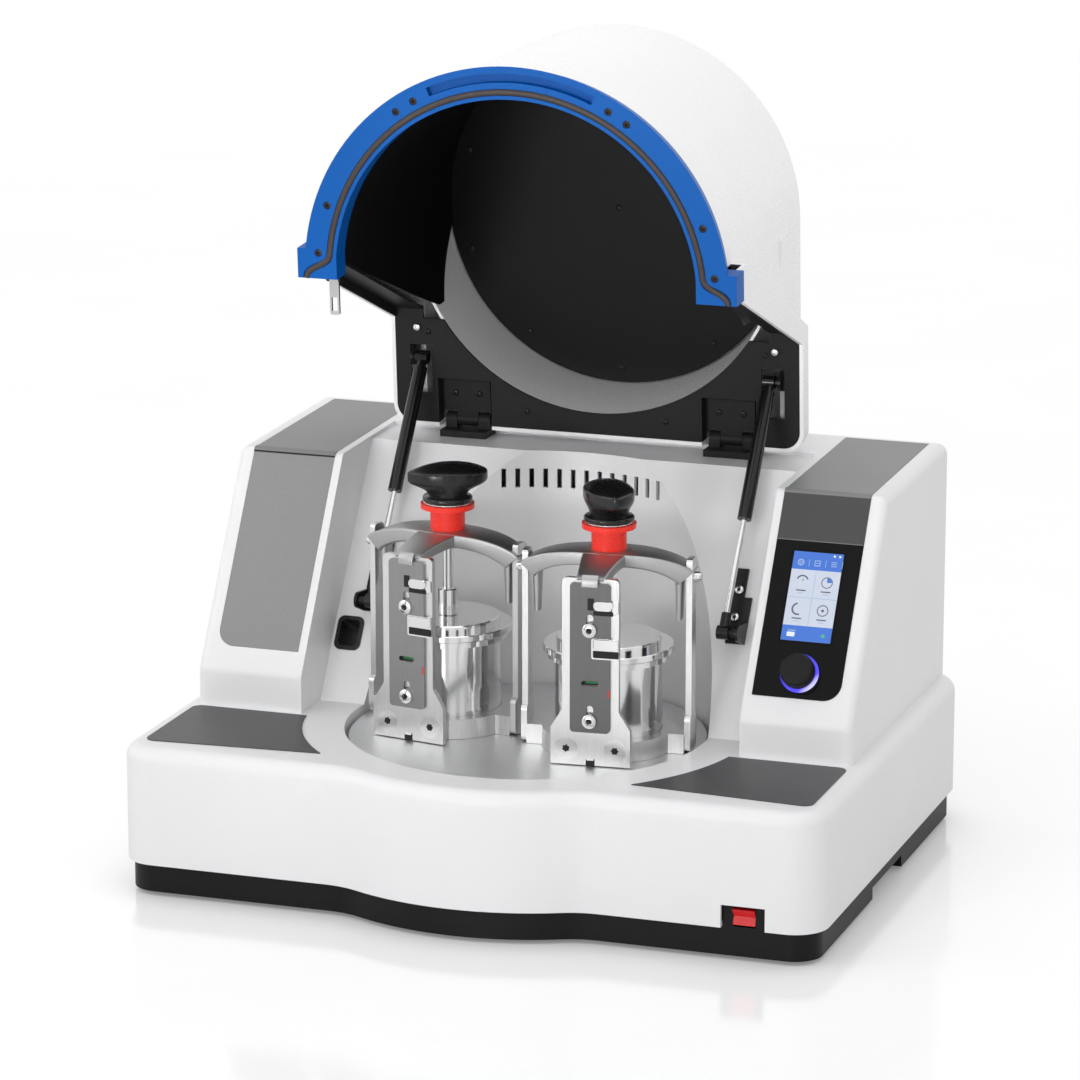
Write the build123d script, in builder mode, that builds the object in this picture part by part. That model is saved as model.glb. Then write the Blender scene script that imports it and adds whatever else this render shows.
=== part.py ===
from build123d import *
import math
import os

# Planetary ball mill with two jar stations: bench housing, drum lid on gas struts, belt drive.
# Millimetres, +X right, +Y back, +Z up. The geometry is worked out around the turntable axis, with
# the bench at z = 0, and every finished piece is moved back so that the origin is below the centre
# of the whole machine. The lid is drawn shut and then opened about its hinge line.

os.makedirs("parts", exist_ok=True)

# ---- clearances ----
running_fit = 0.05  # radial play of shafts and pins in their bores
seat_gap = 0.3  # play between a piece and the seat it lies in
air_gap = 1.5  # play beside pieces that move past each other

# ---- housing and plinth ----
housing_half_width = 362.0
housing_front = -201.0
housing_rear = 339.0
housing_corner = 35.0
bulge_radius = 245.0
bulge_centre = 12.0
bulge_blend = 80.0
housing_wall = 4.0
foot_height = 4.0
foot_radius = 17.0
foot_inset = 62.0
plinth_top = 33.0
plinth_inset = 6.0
plinth_wall = 5.0
plinth_step_height = 12.0
ledge_inset = 12.0  # inner edge of the ledge that the housing stands on the plinth with
plinth_step_length = 110.0
deck_height = 152.5
deck_edge_round = 14.0
pod_half_width = 345.0
pod_inner_wall = 231.0
pod_front = -33.0
pod_knee_height = 190.0
pod_bend_y = 90.0
pod_bend_height = 395.0
pod_rear = 331.0
pod_top_height = 399.0
pod_bend_round = 6.0
pod_knee_round = 12.0
pod_rear_round = 14.0
pod_edge_round = 10.0
slope_foot = 19.0  # where the sloping face between the pods meets the deck
slope_top = 174.0
saddle_height = 393.0  # flat between the pods that carries the lid hinges
saddle_rear = 240.0
well_radius = 184.0
well_floor = 90.0
vent_count = 13
vent_span = 53.6
vent_width = 5.0
vent_height = 20.0
vent_drop = 29.0  # from the saddle down to the middle of the vents

# ---- panels let into the pods ----
panel_depth = 2.0
panel_outer = 328.0
panel_inner = 239.0
panel_foot_height = 210.0
panel_round = 18.0
panel_margin = 3.0
pad_thickness = 1.0
pad_front_outer = (344.0, -172.0)
pad_rear = -40.0
pad_arc_radius = 226.0
pad_front_inner = -159.0
fascia_thickness = 3.0
display_width = 53.9
display_height = 95.0
display_thickness = 1.6
display_centre = (284.5, 107.0)  # across, and up the slanting front from the fascia foot
knob_centre = (284.5, 28.0)
knob_radius = 15.0
knob_height = 14.0
light_ring_radius = 19.5
light_ring_height = 3.0
light_ring_spigot_radius = 16.5
light_ring_spigot_depth = 6.0
knob_stem_radius = 3.0

# ---- lid, drawn shut ----
hinge_y = 228.7
hinge_rise = 15.5
hinge_height = saddle_height + hinge_rise
lid_open_angle = 86.2
drum_centre = 12.3
roof_radius = 191.0
drum_draft = 3.3
roof_height = 500.0
roof_round = 9.0
lid_wall = 4.0
lid_flange_half_width = 222.0
lid_flange_height = 24.0
flange_set_back = 12.0
flange_round = 6.0
round_wall = 3.0
lid_corner = 22.0
lid_rear = 235.0
lid_plate_rise = 2.0
lid_plate_height = saddle_height + lid_plate_rise
lid_plate_front = 120.0
lid_plate_thickness = 3.0
flange_recess = 9.0  # how far the diagonal flanges lie inside the lid's lower edge
flange_inner = 187.0
flange_rib = 2.0
plate_opening_radius = 196.6
liner_radius = 186.5
liner_wall = 2.5
liner_rear_low = 100.0
liner_rear_high = 35.0
liner_tail = 30.0
roof_liner_rim = 8.0
roof_liner_height = 482.0
rim_height = 153.9
rim_outer_radius = 218.5
rim_inner_radius = 186.0
rim_thickness = 24.0
rim_bevel = 7.0
rim_tab_half_width = 226.0
rim_tab_front = -13.0
rim_tab_rear = 17.0
rim_inner_half_width = 185.0
grip_radius = 207.0
grip_width = 9.0
grip_depth = 7.0
grip_half_angle = 24.0
gasket_width = 6.0
gasket_radius = 193.0
gasket_seat = 2.0
gasket_stand = 1.1
gasket_turn_in = 6.0
gasket_tab_x = 217.0
screw_head_radius = 3.6
screw_head_height = 2.6
screw_socket_radius = 1.8
flat_head_height = 1.4
rim_screw_radius = 205.0
rim_screw_turns = (-6, -20, -55, -61, -119, -125, -160, -174)  # degrees about the drum
roof_screw_circle = 171.0
roof_screw_count = 10
plate_screws = ((75.0, 212.0), (182.0, 134.0))
plate_stud = (193.0, 129.0)
plate_stud_radius = 3.5

# ---- lid hinges ----
hinge_x = 143.0
hinge_width = 50.0
knuckle_radius = 7.0
hinge_pin_radius = 3.0
base_leaf_front = 206.0
base_leaf_rear = 238.0
base_leaf_thickness = 7.0
knuckle_gap = 0.5
base_knuckle_width = 12.0
lid_leaf_front = 186.0
lid_leaf_rear = 219.0
lid_leaf_bottom = 403.5
lid_leaf_thickness = 4.5
hinge_pocket_front = 183.0
hinge_pocket_side = 4.0  # room beside the hinge
hinge_pocket_wall = 2.0
leaf_screw_y = 200.0
leaf_screw_spread = 26.0

# ---- gas struts ----
strut_x = 187.3
strut_foot_y = 54.0
strut_foot_height = 252.2
strut_head_y = 208.3  # head end with the lid open
strut_head_height = 475.4
strut_rod_radius = 3.0
strut_cylinder_radius = 7.2
strut_cylinder_length = 150.0
strut_eye_radius = 7.0
strut_eye_width = 12.0
stud_radius = 4.0
stud_stand = 2.9
strut_neck_gap = 12.0
strut_neck_radius = 5.2
strut_neck_length = 20.0
strut_seal = 6.0
strut_tube_wall = 1.3
strut_piston_gap = 0.3
strut_rod_end = 160.0
strut_slot_half_width = 12.0
strut_slot_centre = 190.0
strut_slot_front = 148.0
strut_slot_rear = 200.0
lid_ear_thickness = 3.5
lid_ear_radius = 6.0
lid_ear_front = 150.0
lid_ear_rear = 171.0
lid_ear_base_outer = 212.0
lid_ear_base_height = 14.0
bracket_inner = 184.0
bracket_outer = 204.0
bracket_tab_outer = 196.0
bracket_start = 99.0  # up the sloping face
bracket_step = 148.0
bracket_end = 178.0
bracket_thickness = 3.0
bracket_ear_thickness = 3.0
bracket_ear_radius = 8.0
bracket_screw_x = 190.0
bracket_screws = (126.0, 155.0)

# ---- latch ----
latch_x = -214.0
latch_along = 74.0  # centre of the receptacle, up the sloping face
latch_width = 28.0
latch_tall = 36.0
latch_round = 7.0
latch_depth = 20.0
latch_wall = 4.0
hook_pivot_y = 31.0
hook_height = 211.0
hook_x = -210.5
hook_length = 38.0
hook_width = 10.0
hook_thickness = 3.0
hook_window = (6.0, 14.0)
hook_window_end = 4.0
hook_end_round = 2.0
hook_pin_radius = 1.5
hook_ear_radius = 4.0
hook_ear_thickness = 2.0

# ---- turntable and drive ----
turntable_radius = 180.0
turntable_top = 145.3
turntable_thickness = 12.0
station_radius = 90.0
station_line_angle = -8.0
main_shaft_radius = 17.0
main_bearing_radius = 30.0
bearing_tube_radius = 38.0
bearing_flange_radius = 58.0
chassis_height = 60.0
chassis_thickness = 6.0
chassis_half_width = 178.0
chassis_front = -120.0
chassis_rear = 322.0
chassis_leg_radius = 12.0
sun_pulley_radius = 55.0
planet_pulley_radius = 27.5
planet_pulley_bottom = 98.0
planet_pulley_width = 13.0
planet_shaft_radius = 15.0
planet_bearing_radius = 26.0
planet_boss_radius = 32.0
planet_boss_depth = 18.0
belt_thickness = 3.0
main_pulley_radius = 90.0
motor_pulley_radius = 30.0
main_pulley_bottom = 42.0
main_pulley_width = 15.0
shaft_end = 4.0  # the main shaft below its pulley
hub_crown = 6.0  # the turntable's skin above the end of the shaft
motor_y = 258.0
motor_radius = 60.0
motor_length = 190.0
motor_shaft_radius = 9.0
motor_shaft_reach = 30.0
terminal_box = (24.0, 70.0, 60.0)

# ---- jar stations, heights above the turntable ----
station_turns = {"left": -10.7, "right": 5.0}
knob_turns = {"left": 31.0, "right": 118.0}
holder_radius = 66.0
holder_height = 20.0
holder_floor = 5.0
jar_radius = 53.5
jar_wall = 5.0
jar_top = 99.0
jar_flange_radius = 60.0
jar_flange_height = 7.0
jar_lid_radius = 65.0
jar_lid_step_radius = 52.0
jar_lid_flange = 7.0
jar_lid_top = 113.0
front_post_face = 78.0
post_thickness = 6.0
front_post_half_width = 28.5
front_post_foot_half_width = 40.0
front_post_foot_height = 38.0
front_post_top = 190.0
side_post_face = 86.0
side_post_width = 18.0
side_post_top = 197.0
bridge_top = 200.0
bridge_arm_width = 32.0
bridge_hub_radius = 24.0
collar_radius = 17.5
collar_flange_radius = 27.0
collar_height = 30.0
spindle_radius = 5.0
spindle_foot_radius = 10.0
spindle_foot_height = 27.0
wing_length = 80.0
wing_width = 42.0
wing_height = 34.0
wing_disc_radius = 25.0
wing_disc_height = 5.0
slider_half_width = 20.0
slider_foot = 35.0
slider_top = 186.0
slider_thickness = 3.0
slider_stroke = 12.0
slider_slot_width = 7.0
slider_slot_rise = 12.0
slider_slot_pitch = 92.0
slider_window = (12.0, 5.0)  # between the centres of its round ends, and its height
slider_window_rise = 50.0

# ---- rear and small electrics ----
fan_size = 92.0
fan_depth = 25.0
fan_bore_radius = 43.0
fan_blade_radius = 41.0
fan_blade_count = 7
fan_hub_radius = 18.0
fan_pin_radius = 2.0
fan_opening_radius = 42.0
fan_strut_depth = 5.0
fan_x = -245.0
fan_height = 230.0
vent_panel_width = 150.0
vent_panel_height = 120.0
vent_panel_thickness = 2.0
vent_panel_slots = 9
vent_panel_slot_width = 4.0
vent_panel_slot_length = 78.0
inlet_x = -270.0
inlet_height = 90.0
inlet_width = 50.0
inlet_tall = 30.0
inlet_hole = (34.0, 24.0)  # the opening behind the flange, across and up
inlet_flange = 3.0
inlet_depth = 32.0
inlet_socket_wall = 3.0
inlet_socket_depth = 22.0
inlet_pin = (2.0, 4.0)
inlet_pin_spread = 7.0
rocker_x = 286.0
rocker_height = 44.0
rocker_width = 22.0
rocker_tall = 20.0
notch_half_width = 22.0
notch_top = 56.0
inverter_size = (90.0, 120.0, 180.0)
inverter_x = 270.0
inverter_y = 220.0
inverter_rib_pitch = 12.0
inverter_rib_count = 9
inverter_rib_depth = 10.0

# ---- values worked out from the sizes above ----
drive_y = (bulge_radius - bulge_centre - housing_rear - inlet_flange) / 2  # centres the outline
sides = (-1, 1)
panel_width = panel_outer - panel_inner
panel_middle = (panel_outer + panel_inner) / 2
slope_run = slope_top - slope_foot
slope_rise = saddle_height - deck_height
slope_angle = math.degrees(math.atan2(slope_rise, slope_run))
front_angle = math.degrees(math.atan2(pod_bend_height - pod_knee_height, pod_bend_y - pod_front))
panel_foot_y = pod_front + (panel_foot_height - pod_knee_height) / math.tan(math.radians(front_angle))
front_length = math.hypot(pod_bend_height - panel_foot_height, pod_bend_y - panel_foot_y)
front_plane = Plane(
    origin=(0, panel_foot_y, panel_foot_height),
    x_dir=(1, 0, 0),
    z_dir=(0, -math.sin(math.radians(front_angle)), math.cos(math.radians(front_angle))),
)
slope_plane = Plane(
    origin=(0, slope_foot, deck_height),
    x_dir=(1, 0, 0),
    z_dir=(0, -math.sin(math.radians(slope_angle)), math.cos(math.radians(slope_angle))),
)
top_tilt = math.atan2(pod_top_height - pod_bend_height, pod_rear - pod_bend_y)
top_length = math.hypot(pod_top_height - pod_bend_height, pod_rear - pod_bend_y) - pod_rear_round
top_plane = Plane(
    origin=(0, pod_bend_y, pod_bend_height),
    x_dir=(1, 0, 0),
    z_dir=(0, -math.sin(top_tilt), math.cos(top_tilt)),
)
lid_diagonal = (rim_tab_rear, rim_height + rim_thickness)
strut_angle = math.degrees(
    math.atan2(strut_head_height - strut_foot_height, strut_head_y - strut_foot_y)
)
strut_length = math.hypot(strut_head_height - strut_foot_height, strut_head_y - strut_foot_y)
hinge_line = Axis((0, hinge_y, hinge_height), (1, 0, 0))
station_spots = {
    "left": station_line_angle + 180,
    "right": station_line_angle,
}


def keep(name, piece):
    """Names a finished piece, moves it to the machine's own origin and writes it."""
    placed = piece.moved(Location((0, drive_y, 0)))
    placed.label = name
    export_step(placed, f"parts/{name}.step")
    return placed


def keep_lid(name, piece):
    """Opens a piece that was drawn with the lid shut, and keeps it."""
    return keep(name, piece.rotate(hinge_line, -lid_open_angle))


def point_at(radius, degrees):
    """A point on a circle about the turntable axis."""
    turn = math.radians(degrees)
    return (radius * math.cos(turn), radius * math.sin(turn))


# ======================================================================================
# Housing
# ======================================================================================
def footprint(inset):
    """Plan of the lower body: a rounded rectangle with a round bulge at the front."""
    depth = housing_rear - housing_front
    middle = (housing_rear + housing_front) / 2
    with BuildSketch() as plan:
        with Locations((0, middle)):
            RectangleRounded(
                2 * (housing_half_width - inset), depth - 2 * inset, housing_corner - inset
            )
        with Locations((0, bulge_centre)):
            Circle(bulge_radius - inset)
        dents = plan.vertices().filter_by(lambda v: abs(v.Y - housing_front - inset) < 0.01)
        dents = dents.filter_by(lambda v: abs(v.X) < bulge_radius)
        fillet(dents, bulge_blend)
    return plan.sketch


def pod_profile(inset):
    """Side view of the raised rear housing, shrunk evenly by the inset."""
    with BuildSketch() as side:
        with BuildLine():
            Polyline(
                (pod_front, plinth_top + 30),
                (pod_front, pod_knee_height),
                (pod_bend_y, pod_bend_height),
                (pod_rear, pod_top_height),
                (pod_rear, plinth_top + 30),
                close=True,
            )
        make_face()
        fillet(side.vertices().sort_by_distance((pod_bend_y, pod_bend_height))[0], pod_bend_round)
        fillet(side.vertices().sort_by_distance((pod_front, pod_knee_height))[0], pod_knee_round)
        fillet(side.vertices().sort_by_distance((pod_rear, pod_top_height))[0], pod_rear_round)
        if inset:
            offset(amount=-inset)
    return side.sketch


def between_pods(grow):
    """Side view of the room between the pods, in front of and above the sloping face."""
    shift = grow / math.sin(math.radians(slope_angle))
    top = 2 * saddle_height
    with BuildSketch() as room:
        with BuildLine():
            Polyline(
                (2 * pod_front, deck_height - grow),
                (slope_foot + shift, deck_height - grow),
                (slope_top + shift, saddle_height - grow),
                (saddle_rear + grow, saddle_height - grow),
                (saddle_rear + grow, top),
                (2 * pod_front, top),
                close=True,
            )
        make_face()
    return room.sketch


def raised_housing(inset):
    with BuildPart() as rear_body:
        with BuildSketch(Plane.YZ.offset(inset - pod_half_width)):
            add(pod_profile(inset))
        extrude(amount=2 * (pod_half_width - inset))
        if not inset:
            ends = rear_body.faces().filter_by(Axis.X)
            rims = ends.edges().filter_by(lambda e: e.center().Z > plinth_top + 31)
            fillet(rims, pod_edge_round)
    return rear_body.part


def panel_plan(length, wanted, gap, foot_round):
    """Outline of the panels in a pod face; the outer corner at the foot may be round."""
    with BuildSketch() as plan:
        for side in wanted:
            with Locations((side * panel_middle, length / 2)):
                Rectangle(panel_width - 2 * gap, length - 2 * panel_margin - 2 * gap)
        if foot_round:
            feet = plan.vertices().group_by(Axis.Y)[0]
            fillet(feet.filter_by(lambda v: abs(v.X) > panel_middle), foot_round - gap)
    return plan.sketch


outer_plan = footprint(0)
inner_plan = footprint(housing_wall)
ledge_plan = footprint(ledge_inset)
raised_outer = raised_housing(0)
raised_inner = raised_housing(housing_wall)
room_outer = between_pods(0)
room_inner = between_pods(housing_wall)

with BuildPart() as housing_core:  # the hollow inside the shell
    with BuildSketch(Plane.XY.offset(plinth_top + housing_wall)):
        add(inner_plan)
    extrude(amount=deck_height - 2 * housing_wall - plinth_top)
    core_rim = housing_core.faces().sort_by(Axis.Z)[-1].outer_wire().edges()
    fillet(core_rim, deck_edge_round - housing_wall)
    add(raised_inner)
    with BuildSketch(Plane.YZ):
        add(room_inner)
    extrude(amount=pod_inner_wall + housing_wall, both=True, mode=Mode.SUBTRACT)
    with BuildSketch(Plane.XY.offset(well_floor)):
        Circle(well_radius + housing_wall)
    extrude(amount=2 * saddle_height, mode=Mode.SUBTRACT)
    with BuildSketch(Plane.XY.offset(plinth_top - 1)):
        add(ledge_plan)
    extrude(amount=2 * housing_wall)

with BuildPart() as housing_shell:
    with BuildSketch(Plane.XY.offset(plinth_top)):
        add(outer_plan)
    extrude(amount=deck_height - plinth_top)
    deck_rim = housing_shell.faces().sort_by(Axis.Z)[-1].outer_wire().edges()
    fillet(deck_rim, deck_edge_round)
    add(raised_outer)
    with BuildSketch(Plane.YZ):
        add(room_outer)
    extrude(amount=pod_inner_wall, both=True, mode=Mode.SUBTRACT)
    add(housing_core.part, mode=Mode.SUBTRACT)
    # the well that the turntable sits in, with a hole for the drive
    with BuildSketch(Plane.XY.offset(well_floor + housing_wall)):
        Circle(well_radius)
    extrude(amount=2 * saddle_height, mode=Mode.SUBTRACT)
    with BuildSketch(Plane.XY.offset(well_floor - 1)):
        Circle(bearing_flange_radius + 6)
    extrude(amount=housing_wall + 2, mode=Mode.SUBTRACT)
    # air slots high in the curved wall
    with Locations((0, 0, saddle_height - vent_drop)):
        with PolarLocations(
            well_radius, vent_count, 90 - vent_span / 2, vent_span, endpoint=True
        ):
            Box(8 * housing_wall, vent_width, vent_height, mode=Mode.SUBTRACT)
    # notch for the power switch
    with Locations((rocker_x, housing_front, plinth_top)):
        Box(
            2 * notch_half_width,
            2 * (ledge_inset + seat_gap),
            2 * (notch_top - plinth_top),
            mode=Mode.SUBTRACT,
        )
    # seats of the slanting panels and of the top panels
    with BuildSketch(front_plane.offset(-panel_depth)):
        add(panel_plan(front_length, sides, 0, panel_round))
    extrude(amount=2 * panel_depth, mode=Mode.SUBTRACT)
    with BuildSketch(top_plane.offset(-panel_depth)):
        add(panel_plan(top_length, sides, 0, 0))
    extrude(amount=2 * panel_depth, mode=Mode.SUBTRACT)
    # hole behind the turning knob
    with BuildSketch(front_plane.offset(-4 * panel_depth)):
        with Locations(knob_centre):
            Circle(light_ring_spigot_radius)
    extrude(amount=4 * panel_depth, mode=Mode.SUBTRACT)
    # opening behind the rear vent panel, and the mains inlet
    with Locations((fan_x, pod_rear, fan_height)):
        Cylinder(fan_opening_radius, 4 * housing_wall, rotation=(90, 0, 0), mode=Mode.SUBTRACT)
    with Locations((inlet_x, housing_rear, inlet_height)):
        Box(inlet_hole[0], 8 * housing_wall, inlet_hole[1], mode=Mode.SUBTRACT)
    # hole for the latch receptacle
    with BuildSketch(slope_plane.offset(-4 * housing_wall)):
        with Locations((latch_x, latch_along)):
            RectangleRounded(
                latch_width + 2 * seat_gap, latch_tall + 2 * seat_gap, latch_round + seat_gap
            )
    extrude(amount=5 * housing_wall, mode=Mode.SUBTRACT)

keep("housing_shell", housing_shell.part)


# ======================================================================================
# Plinth, feet and the pieces let into the housing
# ======================================================================================
with BuildPart() as base_plinth:
    plinth_outer = footprint(plinth_inset)
    plinth_hollow = footprint(plinth_inset + plinth_wall)
    with BuildSketch(Plane.XY.offset(foot_height)):
        add(plinth_outer)
    extrude(amount=plinth_top - foot_height)
    with BuildSketch(Plane.XY.offset(foot_height + plinth_wall)):
        add(plinth_hollow)
    extrude(amount=plinth_top, mode=Mode.SUBTRACT)
    # the tab that fills the notch in the housing and holds the switch
    with Locations((rocker_x, housing_front + plinth_inset + plinth_wall / 2, foot_height)):
        Box(
            2 * (notch_half_width - seat_gap),
            plinth_wall,
            notch_top - seat_gap - foot_height,
            align=(Align.CENTER, Align.CENTER, Align.MIN),
        )
    with Locations((rocker_x, housing_front, rocker_height)):
        Box(
            rocker_width + 2 * seat_gap,
            6 * plinth_wall,
            rocker_tall + 2 * seat_gap,
            mode=Mode.SUBTRACT,
        )
    # the sides are stepped up between the feet, as finger room for lifting
    for side in sides:
        with Locations((side * housing_half_width, (housing_front + housing_rear) / 2, foot_height)):
            Box(
                4 * plinth_wall + 2 * plinth_inset,
                plinth_step_length,
                2 * plinth_step_height,
                mode=Mode.SUBTRACT,
            )
keep("base_plinth", base_plinth.part)

with BuildPart() as rubber_feet:
    foot_x = housing_half_width - foot_inset
    foot_spread = housing_rear - housing_front - 2 * foot_inset
    with Locations((0, (housing_front + housing_rear) / 2, 0)):
        with GridLocations(2 * foot_x, foot_spread, 2, 2):
            Cylinder(foot_radius, foot_height, align=(Align.CENTER, Align.CENTER, Align.MIN))
keep("rubber_feet", rubber_feet.part)

with BuildPart() as deck_pads:
    with BuildSketch(Plane.XY.offset(deck_height)):
        for side in sides:
            arc_rear = math.sqrt(pad_arc_radius**2 - pad_rear**2)
            arc_front = math.sqrt(pad_arc_radius**2 - pad_front_inner**2)
            with BuildLine():
                rear_inner = (side * arc_rear, pad_rear)
                front_inner = (side * arc_front, pad_front_inner)
                half_way = point_at(pad_arc_radius, 270 + side * 57)
                ThreePointArc(rear_inner, half_way, front_inner)
                Polyline(
                    front_inner,
                    (side * pad_front_outer[0], pad_front_outer[1]),
                    (side * pad_front_outer[0], pad_rear),
                    rear_inner,
                )
            make_face()
    extrude(amount=pad_thickness)
    upright = deck_pads.edges().filter_by(Axis.Z)
    outer = upright.filter_by(lambda e: abs(e.center().X) > pad_front_outer[0] - 1)
    fillet(outer, 10)
keep("deck_pads", deck_pads.part)

with BuildPart() as left_front_grille:
    with BuildSketch(front_plane.offset(-panel_depth)):
        add(panel_plan(front_length, (-1,), seat_gap, panel_round))
    extrude(amount=panel_depth)
keep("left_front_grille", left_front_grille.part)

with BuildPart() as display_fascia:
    with BuildSketch(front_plane.offset(-panel_depth)):
        add(panel_plan(front_length, (1,), seat_gap, panel_round))
    extrude(amount=fascia_thickness)
    with BuildSketch(front_plane.offset(fascia_thickness - panel_depth - display_thickness)):
        with Locations(display_centre):
            Rectangle(display_width + 2 * seat_gap, display_height + 2 * seat_gap)
    extrude(amount=2 * display_thickness, mode=Mode.SUBTRACT)
    with BuildSketch(front_plane.offset(-2 * panel_depth)):
        with Locations(knob_centre):
            Circle(light_ring_spigot_radius)
    extrude(amount=3 * fascia_thickness, mode=Mode.SUBTRACT)
keep("display_fascia", display_fascia.part)

with BuildPart() as touch_display:
    with BuildSketch(front_plane.offset(fascia_thickness - panel_depth - display_thickness)):
        with Locations(display_centre):
            Rectangle(display_width, display_height)
    extrude(amount=display_thickness)
keep("touch_display", touch_display.part)

knob_plane = Plane(
    origin=front_plane.from_local_coords((knob_centre[0], knob_centre[1], 0)),
    x_dir=(1, 0, 0),
    z_dir=front_plane.z_dir,
)
fascia_face = fascia_thickness - panel_depth
with BuildPart() as encoder_light_ring:
    with BuildSketch(knob_plane.offset(fascia_face + air_gap)):
        Circle(light_ring_radius)
    extrude(amount=light_ring_height)
    with BuildSketch(knob_plane.offset(-light_ring_spigot_depth)):
        Circle(light_ring_spigot_radius - seat_gap)
    extrude(amount=light_ring_spigot_depth + fascia_face + air_gap)
    chamfer(encoder_light_ring.edges().group_by(Axis.Z)[-1], 0.6)
    with BuildSketch(knob_plane.offset(-light_ring_spigot_depth - 1)):
        Circle(knob_stem_radius + running_fit)
    extrude(amount=2 * (light_ring_spigot_depth + light_ring_height), mode=Mode.SUBTRACT)
keep("encoder_light_ring", encoder_light_ring.part)

with BuildPart() as encoder_knob:
    with BuildSketch(knob_plane.offset(fascia_face + air_gap + light_ring_height + seat_gap)):
        Circle(knob_radius)
    extrude(amount=knob_height)
    with BuildSketch(knob_plane.offset(1 - light_ring_spigot_depth)):
        Circle(knob_stem_radius)
    extrude(amount=light_ring_spigot_depth + fascia_face + air_gap + light_ring_height + seat_gap)
keep("encoder_knob", encoder_knob.part)

with BuildPart() as pod_top_panels:
    with BuildSketch(top_plane.offset(-panel_depth)):
        add(panel_plan(top_length, sides, seat_gap, 0))
    extrude(amount=panel_depth)
keep("pod_top_panels", pod_top_panels.part)

with BuildPart() as power_rocker:
    with BuildSketch(Plane.YZ.offset(rocker_x - rocker_width / 2)):
        with BuildLine():
            face_y = housing_front + plinth_inset
            half = rocker_tall / 2 - seat_gap
            Polyline(
                (face_y + 9, rocker_height - half),
                (face_y - 1, rocker_height - half + 1.5),
                (face_y + 1.5, rocker_height),
                (face_y - 4.5, rocker_height + half - 1.5),
                (face_y + 9, rocker_height + half - 2),
                close=True,
            )
        make_face()
    extrude(amount=rocker_width)
keep("power_rocker", power_rocker.part)

with BuildPart() as latch_receptacle:
    with BuildSketch(slope_plane.offset(air_gap)):
        with Locations((latch_x, latch_along)):
            RectangleRounded(latch_width, latch_tall, latch_round)
    extrude(amount=-latch_depth)
    with BuildSketch(slope_plane.offset(2 * air_gap)):
        with Locations((latch_x, latch_along)):
            RectangleRounded(latch_width - 2 * latch_wall, latch_tall - 2 * latch_wall, latch_wall)
    extrude(amount=-latch_depth, mode=Mode.SUBTRACT)
keep("latch_receptacle", latch_receptacle.part)
print("base pieces done")


# ======================================================================================
# Turntable and drive
# ======================================================================================
def ring(outer, inner, bottom, height, spot=(0, 0)):
    """A plain ring about an upright axis."""
    with BuildPart() as part:
        with BuildSketch(Plane.XY.offset(bottom)):
            with Locations(spot):
                Circle(outer)
                Circle(inner, mode=Mode.SUBTRACT)
        extrude(amount=height)
    return part.part


turntable_bottom = turntable_top - turntable_thickness
planet_boss_bottom = turntable_bottom - planet_boss_depth
hub_bottom = planet_pulley_bottom + planet_pulley_width + air_gap
tube_top = planet_pulley_bottom - seat_gap
chassis_top = chassis_height + chassis_thickness
spots = [point_at(station_radius, turn) for turn in station_spots.values()]

with BuildPart() as turntable:
    with BuildSketch(Plane.XY.offset(turntable_bottom)):
        Circle(turntable_radius)
    extrude(amount=turntable_thickness)
    chamfer(turntable.faces().sort_by(Axis.Z)[-1].edges(), 1)
    with BuildSketch(Plane.XY.offset(hub_bottom)):
        Circle(main_bearing_radius)
    extrude(amount=turntable_bottom - hub_bottom)
    with BuildSketch(Plane.XY.offset(planet_boss_bottom)):
        with Locations(*spots):
            Circle(planet_boss_radius)
    extrude(amount=planet_boss_depth)
    with BuildSketch(Plane.XY.offset(hub_bottom)):
        Circle(main_shaft_radius)
    extrude(amount=turntable_top - hub_bottom - hub_crown, mode=Mode.SUBTRACT)
    with BuildSketch(Plane.XY.offset(planet_boss_bottom)):
        with Locations(*spots):
            Circle(planet_bearing_radius)
    extrude(amount=planet_boss_depth, mode=Mode.SUBTRACT)
    with BuildSketch(Plane.XY.offset(planet_boss_bottom)):
        with Locations(*spots):
            Circle(planet_shaft_radius + air_gap)
    extrude(amount=2 * planet_boss_depth, mode=Mode.SUBTRACT)
keep("turntable", turntable.part)

with BuildPart() as planet_bearings:
    for spot in spots:
        add(
            ring(
                planet_bearing_radius,
                planet_shaft_radius + running_fit,
                planet_boss_bottom,
                planet_boss_depth,
                spot,
            )
        )
keep("planet_bearings", planet_bearings.part)

with BuildPart() as main_shaft:
    with BuildSketch(Plane.XY.offset(main_pulley_bottom - shaft_end)):
        Circle(main_shaft_radius)
    extrude(amount=turntable_top - hub_crown - main_pulley_bottom + shaft_end)

main_pulley = ring(
    main_pulley_radius, main_shaft_radius + running_fit, main_pulley_bottom, main_pulley_width
)
keep("main_shaft", Compound([*main_shaft.part.solids(), *main_pulley.solids()]))

with BuildPart() as bearing_housing:
    add(ring(bearing_flange_radius, main_bearing_radius, chassis_top, 8))
    add(ring(bearing_tube_radius, main_bearing_radius, chassis_top, tube_top - chassis_top))

bearing_width = (tube_top - chassis_top) / 2 - 1
with BuildPart() as main_bearings:
    for bottom in (chassis_top, tube_top - bearing_width):
        add(
            ring(
                main_bearing_radius - running_fit,
                main_shaft_radius + running_fit,
                bottom,
                bearing_width,
            )
        )
keep("bearing_housing", Compound([*bearing_housing.part.solids(), *main_bearings.part.solids()]))

sun_pulley = ring(sun_pulley_radius, main_bearing_radius - 6, tube_top, planet_pulley_width)
keep("sun_pulley", sun_pulley)


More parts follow.
